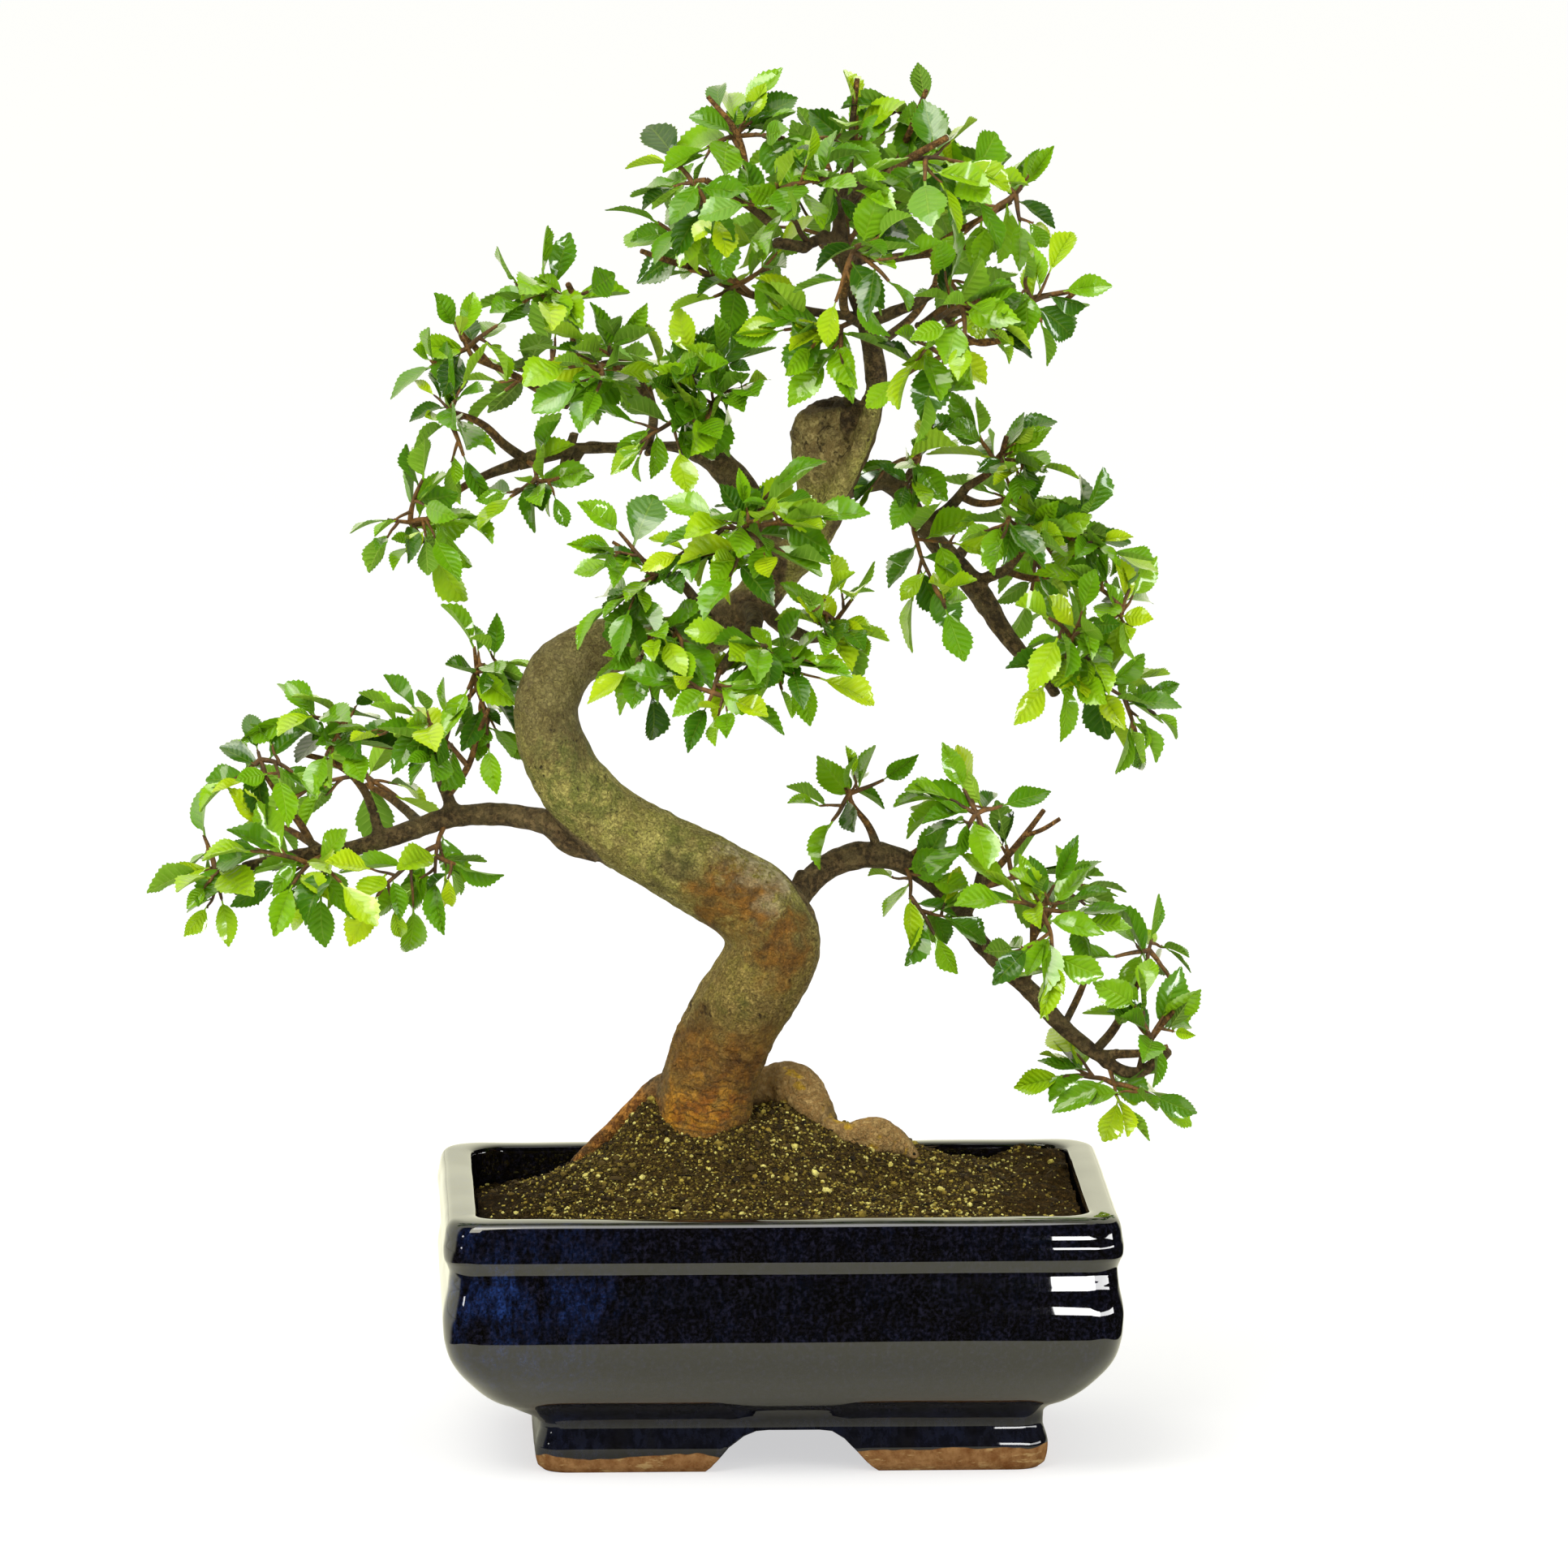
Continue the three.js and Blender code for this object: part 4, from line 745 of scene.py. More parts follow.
wood = {
    "trunk": [(-23, 3, 74, 18), (-23, 2, 87, 16.8), (-22, 2, 95, 15.4), (-21, 1, 104, 14.4),
              (-18, 0, 115, 14.1), (-12, -2, 129, 14.1), (-5, -3, 140, 14.2), (-1, -4, 151, 14.3),
              (-6, -4, 161, 13.5), (-16, -4, 168, 12.7), (-27, -5, 174, 12.1), (-38, -6, 180, 11.7),
              (-49, -7, 187, 11.3), (-58, -8, 196, 10.9), (-65, -9, 207, 10.3), (-68, -9, 219, 9.9),
              (-66, -8, 228, 9.6), (-61, -6, 235, 9.1), (-51, -3, 239, 8.4), (-40, 0, 240, 7.9),
              (-29, 2, 240, 7.5), (-18, 4, 243, 7), (-8, 5, 250, 6.6), (1, 6, 260, 6.2), (10, 6, 270, 6),
              (14, 6, 282, 8.2), (15.5, 6, 292, 10.4), (15.5, 6, 302, 11.3), (16, 6, 308, 11)],
    "leader": [(13, 4, 276, 4.1), (20, 2, 288, 4.1), (25, 0, 299, 4), (29, -1, 310, 3.6), (29, 0, 320, 3.2),
               (27, 2, 329, 2.9), (24, 3, 338, 2.6), (21, 4, 348, 2.4), (19, 5, 357, 2.2), (19, 6, 368, 1.7),
               (22, 6, 380, 1.2)],
    "crownRight": [(25, 2, 331, 2.4), (34, -6, 333, 2.2), (42, -12, 335, 1.8), (49, -16, 338, 1.6),
                   (59, -18, 341, 1.3), (70, -20, 340, 1.1)],
    "crownRightTwig": [(41, -11, 335, 1.1), (51, -22, 331, 1), (63, -26, 332, 0.8)],
    "crownLeft": [(19, 5, 355, 2.2), (13, 2, 357, 1.9), (7, -4, 360, 1.8), (-1, -8, 364, 1.7),
                  (-8, -10, 370, 1.4), (-15, -12, 374, 1.2), (-21, -12, 378, 1.1)],
    "crownLeftUp": [(-7, -9, 369, 1.1), (-8, -5, 377, 1.1), (-10, -2, 385, 1)],
    "crownStout": [(19, 6, 363, 1.8), (23, -6, 371, 1.7), (29, -16, 377, 1.6), (38, -24, 385, 1.3),
                   (44, -28, 389, 1.1), (49, -30, 392, 1)],
    "crownUp": [(20, 6, 367, 1.3), (29, 10, 375, 1.2), (37, 12, 382, 1), (43, 12, 393, 0.8)],
    "crownEast": [(21, 5, 347, 1.9), (31, 10, 352, 1.7), (41, 14, 353, 1.4), (51, 16, 354, 1.3),
                  (59, 16, 356, 1), (68, 16, 358, 0.7)],
    "crownNorthEast": [(45, 15, 354, 1.2), (54, 13, 360, 1.1), (63, 12, 365, 1), (70, 12, 369, 0.8)],
    "crownWest": [(25, 3, 336, 1.7), (11, 8, 337, 1.4), (-1, 11, 340, 1.3), (-13, 13, 344, 1.2),
                  (-25, 13, 350, 1.1), (-38, 13, 354, 0.8)],
    "crownFront": [(25, 2, 334, 1.6), (20, -14, 339, 1.4), (19, -26, 347, 1.3), (21, -36, 357, 1)],
    "crownBack": [(23, 4, 340, 1.8), (23, 20, 343, 1.6), (20, 34, 349, 1.3), (15, 46, 353, 0.8)],
    "crownBackRight": [(27, 3, 326, 1.7), (35, 20, 329, 1.4), (43, 34, 334, 1.2), (49, 46, 341, 0.8)],
    "upperLeft": [(1, 6, 260, 4.8), (-4, 12, 271, 5), (-8, 16, 281, 4.8), (-14, 19, 289, 4.6),
                  (-22, 22, 295, 4.3), (-33, 24, 298, 4), (-45, 26, 297, 3.7), (-57, 27, 296, 3.4),
                  (-67, 27, 293, 2.8), (-76, 26, 290, 2.2), (-85, 24, 287, 1.4), (-93, 22, 283, 1.1),
                  (-102, 20, 275, 0.8), (-112, 20, 268, 0.6)],
    "upperLeftA": [(-34, 24, 298, 2.6), (-35, 23, 304, 2.3), (-37, 20, 310, 1.7), (-42, 16, 318, 1.1)],
    "upperLeftB": [(-54, 26, 296, 2.6), (-60, 24, 303, 2.3), (-62, 22, 310, 1.9), (-59, 20, 321, 1.6),
                   (-59, 18, 334, 1.1)],
    "upperLeftC": [(-61, 22, 308, 1.6), (-69, 16, 313, 1.3), (-78, 8, 319, 1.1), (-89, 4, 324, 0.8)],
    "upperLeftD": [(-73, 27, 291, 1.8), (-80, 18, 297, 1.4), (-87, 12, 304, 1.1), (-97, 10, 308, 0.8)],
    "upperLeftE": [(-25, 22, 296, 1.9), (-22, 18, 303, 1.3), (-18, 14, 309, 1)],
    "upperLeftBack": [(-51, 26, 297, 2.2), (-55, 40, 301, 1.7), (-60, 52, 308, 1.2), (-67, 60, 313, 0.8)],
    "upperLeftBackRight": [(-37, 25, 297, 1.9), (-35, 40, 302, 1.4), (-36, 52, 309, 1.1),
                           (-38, 60, 316, 0.7)],
    "right": [(17, 9, 284, 4.8), (26, 14, 286, 4.1), (33, 18, 286, 3.6), (38, 22, 282, 3.4),
              (42, 25, 275, 3.2), (47, 27, 268, 3.2), (53, 28, 261, 3.4), (59, 28, 254, 3.6),
              (64, 27, 247, 3.4), (69, 25, 239, 2.9), (75, 22, 232, 2.4), (81, 20, 226, 2),
              (84, 18, 221, 1.7)],
    "rightFork": [(75, 22, 232, 1.7), (85, 17, 231, 1.8), (94, 12, 236, 1.7), (101, 8, 241, 1.3),
                  (107, 5, 245, 1.1)],
    "rightA": [(60, 28, 254, 2), (69, 22, 258, 1.7), (73, 16, 264, 1.3)],
    "rightB": [(45, 26, 271, 2.2), (52, 20, 277, 1.9), (57, 14, 284, 1.6), (63, 12, 288, 1.2)],
    "rightC": [(38, 21, 283, 1.7), (42, 20, 290, 1.4), (44, 18, 297, 1.1), (47, 16, 303, 0.7)],
    "rightD": [(55, 17, 281, 1.3), (62, 6, 280, 1.2), (72, 0, 283, 1)],
    "rightE": [(68, 23, 258, 1.2), (79, 20, 256, 1.1), (89, 16, 262, 0.8)],
    "rightBack": [(54, 28, 260, 1.9), (59, 42, 264, 1.6), (67, 54, 266, 1.2), (77, 62, 266, 0.8)],
    "centreLow": [(-10, 5, 249, 3.6), (-7, -10, 249, 2.9), (-8, -24, 246, 2.5), (-13, -36, 242, 2.2),
                  (-18, -44, 237, 1.4)],
    "centreRight": [(-5, 5, 252, 2.6), (1, -8, 246, 2.4), (9, -16, 243, 1.9), (17, -22, 244, 1.4),
                    (24, -26, 243, 1)],
    "centreLeft": [(-19, 4, 244, 2.4), (-24, -14, 254, 1.8), (-30, -26, 262, 1.3), (-36, -32, 266, 0.8),
                   (-49, -34, 274, 0.5)],
    "centreTop": [(2, 6, 261, 1.9), (-2, -10, 266, 1.6), (-5, -24, 273, 1.2), (-7, -34, 280, 0.8)],
    "lowerLeft": [(-61, -4, 185, 4.1), (-70, 0, 187, 3.8), (-79, 4, 188, 3.5), (-89, 6, 188, 3.4),
                  (-97, 7, 187, 3.4), (-106, 7, 184, 3.1), (-115, 6, 181, 2.9), (-126, 5, 178, 2.5),
                  (-137, 4, 177, 2.3), (-148, 3, 175, 2), (-158, 3, 173, 1.8)],
    "lowerLeftA": [(-95, 7, 188, 2.2), (-98, 9, 196, 2), (-100, 11, 203, 1.9), (-98, 11, 210, 1.6),
                   (-96, 11, 215, 1.1), (-88, 8, 226, 0.7)],
    "lowerLeftB": [(-97, 8, 193, 1.1), (-91, 2, 203, 1), (-88, -2, 213, 0.8), (-85, -5, 221, 0.6)],
    "lowerLeftC": [(-99, 11, 204, 1.2), (-108, 9, 207, 1.1), (-118, 7, 209, 1), (-127, 5, 211, 0.7)],
    "lowerLeftD": [(-117, 6, 181, 1.8), (-119, 6, 189, 1.6), (-122, 5, 196, 1.3), (-129, 4, 203, 1.1),
                   (-141, 4, 207, 0.8)],
    "lowerLeftE": [(-136, 4, 177, 1.4), (-140, 2, 185, 1.2), (-145, 0, 192, 1), (-151, -2, 201, 0.6)],
    "lowerLeftBack": [(-105, 7, 185, 1.9), (-109, 22, 187, 1.6), (-115, 34, 190, 1.2), (-121, 42, 192, 0.8)],
    "lowerLeftBackTip": [(-133, 4, 177, 1.4), (-139, 18, 179, 1.2), (-145, 30, 181, 0.8)],
    "lowerRight": [(-1, 0, 155, 4.1), (7, 7, 163, 3.8), (13, 11, 169, 4), (21, 14, 173, 4.1),
                   (30, 15, 174, 4.1), (38, 15, 172, 3.7), (46, 14, 167, 3.2), (53, 12, 160, 3),
                   (59, 10, 151, 2.8), (67, 8, 142, 2.6), (76, 7, 134, 2.8), (84, 6, 125, 2.6),
                   (92, 5, 118, 2.4), (99, 4, 113, 1.8)],
    "lowerRightA": [(31, 14, 175, 1.7), (28, 12, 183, 1.1), (23, 11, 190, 0.7), (21, 10, 195, 0.5)],
    "lowerRightB": [(56, 11, 155, 1.9), (60, 8, 164, 1.7), (62, 4, 174, 1.6), (61, 2, 184, 1.2)],
    "lowerRightC": [(38, 15, 172, 1.2), (44, 10, 177, 1), (51, 6, 183, 0.7)],
    "lowerRightD": [(74, 7, 135, 1.4), (76, 0, 144, 1.2), (76, -6, 156, 1)],
    "lowerRightE": [(95, 5, 116, 1.7), (101, 6, 123, 1.4), (105, 6, 131, 1.2), (110, 6, 140, 0.8)],
    "lowerRightF": [(96, 5, 115, 1.7), (102, 0, 116, 1.6), (109, -4, 117, 1.3), (116, -6, 119, 1)],
    "lowerRightBack": [(53, 12, 159, 1.7), (60, 24, 162, 1.3), (69, 34, 163, 1)],
    "lowerRightBackTip": [(86, 6, 124, 1.4), (91, 18, 131, 1.2), (95, 28, 138, 0.8)],
    "rootLeft": [(-27, 4, 107, 6), (-34, 6, 105.4, 4.2), (-40.5, 8, 100, 3.3), (-47.5, 10, 92.8, 3),
                 (-55, 12, 85.5, 2.7), (-61, 13, 79, 2.4)],
    "rootRight": [(-12, 14, 103, 6), (-2, 16, 104, 6.4), (5, 14, 104, 8.4), (11, 10, 98, 6.6),
                  (15, 8, 90, 4.8), (17, 6, 81, 3.6)],
    "rootFar": [(7, 10, 96, 3.6), (15, 5, 93.6, 3.4), (21, 0, 91.5, 4.6), (29, -1, 91.8, 6.2),
                (36, 0, 88.4, 4.8), (41, 0, 82, 3.6)],
}

# Twigs whose ends were cut and stayed bare, and two nubs on the thick wood
bareTwigs = [
    [(22, 6, 379, 1.1), (22.5, 2, 392, 1), (23.9, 0, 406.6, 0.8)],
    [(37, 12, 382, 1.1), (38, 4, 387, 1.1), (40, -3, 393, 1), (44, -6, 403.7, 0.8)],
    [(-8, -10, 370, 1.1), (-9, -9, 381, 1), (-11.9, -8, 391.6, 0.9), (-20.2, -6, 402, 0.7)],
    [(-25, 13, 350, 1.1), (-30, 6, 352, 1), (-39.6, 0, 356, 0.8)],
    [(49, -16, 338, 1.2), (55, -16, 332, 1.1), (61, -16, 330, 1), (79, -18, 339, 0.9), (90, -20, 347.8, 0.8)],
    [(42, -12, 335, 1.2), (52, -10, 341, 1.2), (67, -12, 341.8, 1.1), (87.5, -14, 345.3, 0.8)],
    [(60, 13, 286, 1.1), (65.4, 12, 290, 1), (68.5, 8, 299.7, 0.8)],
    [(73, 16, 264, 1), (76, 8, 268, 0.9), (78.6, 0, 275, 0.7)],
    [(60, 8, 164, 1.3), (65.9, 8, 170.7, 1.2), (73.9, 5, 180.9, 1), (79.5, 2, 189, 0.8)],
    [(73.9, 5, 180.9, 0.8), (79, 3, 183, 0.8), (84.3, 2, 186.4, 0.7)],
    [(76, -3, 151, 1.1), (80, 2, 157, 1), (85, 4, 163, 0.9)],
    [(97, 4, 113.5, 2), (107, 2, 110, 1.9), (113, -1, 114, 1.8), (117, -3, 117.6, 1.6)],
    [(108, 1, 111, 1.1), (110, 0, 118, 1.1), (114.5, -4, 125.5, 0.9), (118, -6, 130, 0.8)],
    [(-59, 18, 332, 1.1), (-58, 14, 338, 1.1), (-61, 8, 345.5, 0.9)],
    [(-84, 6, 322, 1), (-88, 11, 326, 1), (-94.4, 12, 334, 0.8)],
    [(6, 6, 162, 3.4), (8, 4, 171, 1.7)],
    [(-67, -3, 187, 4), (-61, -4, 182, 4.4), (-52, -5, 178, 3.4)],
]

# Swellings of the trunk: a nub at its right, and the live ridge that runs up in front of the old cut
ridges = [
    [(1, -6, 140, 4), (8.6, -8, 138.6, 2.1)],
    [(6, 2, 262, 3), (12, -2, 274, 3.1), (18, -4.4, 285, 3.1), (23, -5.4, 295, 3), (27, -4, 304, 2.9),
     (29.5, -1.5, 313, 2.8)],
]
limbs = [*wood.values(), *bareTwigs, *ridges]

trunk = {
    "voxel": 0.85, "thinnestFused": 1.5, "smoothing": 3,
    "lumps": 0.7, "crumple": 0.35, "wrinkles": 0.12, "crevices": 3.6, "softened": 5, "cutSlope": 0.28,
    "stubTop": (16, 6, 309), "stubRadius": 11.3, "stubDome": 3.4, "stubDepth": 8, "ridgeLook": 8.0,
}


def makeTubes(name, lines, sides=2, smoothness=5):
    curve = bpy.data.curves.new(name, "CURVE")
    curve.dimensions = "3D"
    curve.bevel_depth = 1
    curve.bevel_resolution = sides
    curve.resolution_u = smoothness
    curve.use_fill_caps = True
    for points in lines:
        spline = curve.splines.new("BEZIER")
        spline.bezier_points.add(len(points) - 1)
        for knot, (x, y, z, radius) in zip(spline.bezier_points, points):
            knot.co = (x, y, z)
            knot.radius = radius
            knot.handle_left_type = knot.handle_right_type = "AUTO"
    pickUp(addToScene(name, curve))
    bpy.ops.object.convert(target="MESH")
    return bpy.context.object


def splitLimbs():
    thick, thin = [], []
    for points in limbs:
        last = max((i for i, point in enumerate(points) if point[3] >= trunk["thinnestFused"]), default=0)
        if last > 0:
            thick.append(points[:last + 1])
        if last < len(points) - 1:
            start = points[last]
            thin.append([(*start[:3], start[3] * 0.92), *points[last + 1:]])
    return thick, thin


# Every place along the limbs, to find how thick the wood is there and how far along its limb it lies
limbPlaces, limbFacts = [], []
for limbPoints in limbs:
    passed, looksThick = 0.0, limbPoints in ridges
    for start, end in zip(limbPoints, limbPoints[1:]):
        start, end = np.array(start, float), np.array(end, float)
        span = np.linalg.norm(end[:3] - start[:3])
        for share in np.linspace(0, 1, max(2, int(span)), endpoint=False):
            here = start + (end - start) * share
            limbPlaces.append(here[:3])
            limbFacts.append((here[3], passed + share * span, trunk["ridgeLook"] if looksThick else here[3]))
        passed += span
limbTree = kdtree.KDTree(len(limbPlaces))
for index, place in enumerate(limbPlaces):
    limbTree.insert(place, index)
limbTree.balance()


def nearestLimb(place):  # radius, way along and look of the limb whose bark is nearest
    found = limbTree.find_n(place, 6)
    _, index, _ = min(found, key=lambda one: one[2] - limbFacts[one[1]][0])
    return limbFacts[index]


def soften(mesh, values, rounds):  # evens the values out between neighbours
    ends = np.empty(len(mesh.edges) * 2, np.int32)
    mesh.edges.foreach_get("vertices", ends)
    one, other = ends.reshape(-1, 2).T
    count = np.bincount(one, minlength=len(values)) + np.bincount(other, minlength=len(values)) + 1
    for _ in range(rounds):
        values = (values + np.bincount(one, values[other], len(values))
                  + np.bincount(other, values[one], len(values))) / count
    return values


def makeTrunk():
    thick, thin = splitLimbs()
    body = makeTubes("thick_wood", thick, 4, 6)
    applyTo(body, "REMESH", mode="VOXEL", voxel_size=trunk["voxel"], use_smooth_shade=True)
    applyTo(body, "SMOOTH", factor=0.5, iterations=trunk["smoothing"])
    places, normals = readPlaces(body), readNormals(body)
    top = np.array(trunk["stubTop"])
    for index, (place, normal) in enumerate(zip(places, normals)):
        radius, along, _ = nearestLimb(place)
        here = Vector(place)
        bulk = min(1.0, radius / 9)
        push = trunk["lumps"] * bulk * noise.noise(here / 13)
        push += trunk["crumple"] * min(1.0, radius / 4) * noise.noise(here / 3.2)
        dead = float(smoothStep(np.linalg.norm(place - top), 20, 8))
        push -= trunk["crevices"] * dead * max(0.0, noise.noise(Vector((here.x, here.y, here.z * 0.6)) / 3.6))
        wave = math.sin(along * 1.5 + 4 * noise.noise(here / 7))
        push += trunk["wrinkles"] * bulk * wave * float(smoothStep(place[2], 150, 115))
        places[index] = place + normal * push
        offAxis = np.hypot(*(place[:2] - top[:2]))
        slope = trunk["cutSlope"] * (place[0] - top[0])
        places[index][2] += slope * float(smoothStep(place[2], top[2] - 14, top[2]))
        rim = top[2] - trunk["stubDepth"]
        if place[2] > rim and offAxis < trunk["stubRadius"]:  # the old cut has healed to a rough dome
            dome = (1 - (offAxis / trunk["stubRadius"]) ** 2) * float(smoothStep(place[2], rim, top[2]))
            places[index][2] += trunk["stubDome"] * dome * (1 + 0.4 * noise.noise(here / 3))
    setPlaces(body.data, places)
    tree = joinAll([body, makeTubes("thin_wood", thin, 1, 5)])
    places = readPlaces(tree)
    facts = np.array([nearestLimb(place) for place in places])
    setMarks(tree.data, "girth", soften(tree.data, facts[:, 2], trunk["softened"]))
    setMarks(tree.data, "along", facts[:, 1])
    offAxis = np.hypot(places[:, 0] - top[0], places[:, 1] - top[1])
    cut = smoothStep(places[:, 2], top[2] - 2.5, top[2] - 1) * smoothStep(offAxis, 10, 8.5)
    setMarks(tree.data, "cut", cut)
    pickUp(tree)
    bpy.ops.object.shade_smooth()
    settle(tree, "trunk_and_branches", ["trunk"], [bark])


makeTrunk()
print("trunk: roots, stem and branches are made")


# Soil

soil = {
    "half": (88.7, 63.7), "corner": 11, "cells": (124, 90),
    "walls": [(0, 60), (0, 50), (2.4, 36), (16.4, 19.5)],  # how far in, and the height there
    "level": 74.8, "tilt": 0.02, "droop": 4, "droopReach": 88, "heapMiddle": -4, "heapEdge": (84, 52),
    # Height, middle in x and y, and half width in x and y
    "swells": [(22, -14, -4, 62, 38), (6, 30, 12, 28, 22), (-8, 28, -16, 17, 18), (11, -38, 0, 9, 10),
               (6, 0, 13, 11, 12), (4, 27, -12, 16, 8), (-4.5, -74, 42, 30, 30), (5, 84, 50, 14, 30)],
    "clods": 1.1, "crumbs": 0.7, "pebbles": 4700, "specks": 11500, "chips": 90, "strands": 380,
    "smooth": 60, "pebbleTone": 0.48, "speckTone": 0.66, "toneSpread": 0.30,
    "shapes": [(1, 1, 0.85), (1.2, 0.9, 0.75), (0.9, 1.1, 1), (1.35, 0.8, 0.6), (1, 0.85, 0.95)],
    "chipShape": (2.0, 0.8, 0.35), "strandShape": (7, 0.4, 0.4),
}


def grittiness(x, y):  # the heap is full of grit, and both ends of the pot are peat
    return float(smoothStep(abs(x - soil["heapMiddle"] + 3 * math.sin(y / 7)), *soil["heapEdge"]))


def soilHeight(x, y):
    level = soil["level"] + soil["tilt"] * x - soil["droop"] * (x / soil["droopReach"]) ** 2
    for height, middleX, middleY, wide, deep in soil["swells"]:
        level += height * math.exp(-(((x - middleX) / wide) ** 2) - ((y - middleY) / deep) ** 2)
    here = Vector((x, y, 0))
    loose = 2.4 - 1.4 * grittiness(x, y)  # the peat lies in bigger lumps than the grit
    clods = soil["clods"] * loose * (noise.noise(here / 9) + 0.6 * noise.noise(here / 4.5))
    return level + clods + soil["crumbs"] * noise.noise(here / 1.9)


def roundCorner(x, y):  # moves a point of the square sheet so that the sheet's corners are round
    halfX, halfY = soil["half"]
    corner = soil["corner"]
    overX, overY = abs(x) - halfX + corner, abs(y) - halfY + corner
    if overX > 0 and overY > 0:
        u, v = overX / corner, overY / corner
        x = math.copysign(halfX - corner + corner * u * math.sqrt(1 - v * v / 2), x)
        y = math.copysign(halfY - corner + corner * v * math.sqrt(1 - u * u / 2), y)
    return x, y


def makeSoilBed():
    halfX, halfY = soil["half"]
    nothingSelected()
    cellsX, cellsY = soil["cells"]
    bpy.ops.mesh.primitive_grid_add(x_subdivisions=cellsX, y_subdivisions=cellsY, size=2)
    bpy.context.object.scale = (halfX, halfY, 1)
    bed = applyPlace()
    for vertex in bed.data.vertices:
        x, y = roundCorner(vertex.co.x, vertex.co.y)
        vertex.co = (x, y, soilHeight(x, y))
    bpy.ops.object.mode_set(mode="EDIT")
    bpy.ops.mesh.select_mode(type="EDGE")
    bpy.ops.mesh.select_all(action="SELECT")
    bpy.ops.mesh.region_to_loop()
    wide = 0.0
    for inset, z in soil["walls"]:
        bpy.ops.mesh.extrude_edges_move(TRANSFORM_OT_translate={"value": (0, 0, -1)})
        narrower = ((halfX - inset) / (halfX - wide), (halfY - inset) / (halfY - wide), 1)
        bpy.ops.transform.resize(value=narrower, center_override=(0, 0, 0))
        mesh = bmesh.from_edit_mesh(bed.data)
        for vertex in mesh.verts:
            if vertex.select:
                vertex.co.z = z
        bmesh.update_edit_mesh(bed.data)
        wide = inset
    bpy.ops.mesh.edge_face_add()
    closeUp()
    smoothTo(bed, soil["smooth"])
    setMarks(bed.data, "gritty", [grittiness(*vertex.co[:2]) for vertex in bed.data.vertices])
    bed.data.materials.append(peat)
    return bed


def makeGrain(seed, shape, simple=False):
    if simple:
        bpy.ops.mesh.primitive_cylinder_add(vertices=3, radius=1, depth=1.5)
    else:
        bpy.ops.mesh.primitive_ico_sphere_add(subdivisions=1, radius=1)
    grain = bpy.context.object
    for vertex in grain.data.vertices:
        rough = 1 + 0.35 * noise.noise(vertex.co * 1.3 + Vector((seed, 0, 0)))
        vertex.co = vertex.co * Vector(shape) * rough
    return grain


def makeSoil():
    bed = makeSoilBed()
    grains = [makeGrain(index * 7.3, shape) for index, shape in enumerate(soil["shapes"])]
    specks = [makeGrain(index * 5.1, shape, True) for index, shape in enumerate(soil["shapes"])]
    chip, strand = makeGrain(50, soil["chipShape"]), makeGrain(60, soil["strandShape"])
    draw = random.Random(11)
    verts, faces, tones = [], [], []

    def scatter(pattern, x, y, radius, tone, sink):
        z = soilHeight(x, y) + radius * sink
        turn = Matrix.Rotation(draw.uniform(0, 6.28), 3, "Z")
        turn = turn @ Matrix.Rotation(draw.uniform(-0.7, 0.7), 3, "X")
        first = len(verts)
        verts.extend(turn @ vertex.co * radius + Vector((x, y, z)) for vertex in pattern.data.vertices)
        faces.extend([first + corner for corner in face.vertices] for face in pattern.data.polygons)
        tones.extend([tone] * len(pattern.data.vertices))

    for kinds, number in ((grains, soil["pebbles"]), (specks, soil["specks"])):
        for _ in range(number):
            x, y = roundCorner(*(half * draw.uniform(-0.985, 0.985) for half in soil["half"]))
            if draw.random() > 0.15 + 0.85 * grittiness(x, y):
                continue
            big = kinds is grains
            radius = min(1.5, 0.40 + draw.expovariate(5.0)) if big else draw.uniform(0.22, 0.48)
            tone = draw.gauss(soil["pebbleTone"] if big else soil["speckTone"], soil["toneSpread"])
            tone = min(1.0, max(0.0, tone))
            scatter(draw.choice(kinds), x, y, radius, tone, 0.2)
    for kind, number, size in ((chip, soil["chips"], 1.3), (strand, soil["strands"], 0.7)):
        for _ in range(number):
            x, y = roundCorner(*(half * draw.uniform(-0.95, 0.95) for half in soil["half"]))
            scatter(kind, x, y, draw.uniform(0.4, 1) * size, draw.uniform(0.05, 0.45), 0.3)
    mesh = bpy.data.meshes.new("grit")
    mesh.from_pydata(verts, [], faces)
    setMarks(mesh, "tone", tones)
    mesh.materials.append(grit)
    removeAll([*grains, *specks, chip, strand])
    settle(joinAll([bed, addToScene("grit", mesh)]), "potting_soil", ["soil"])


makeSoil()
print("soil: bed, grit and peat are made")


# Leaves and twigs

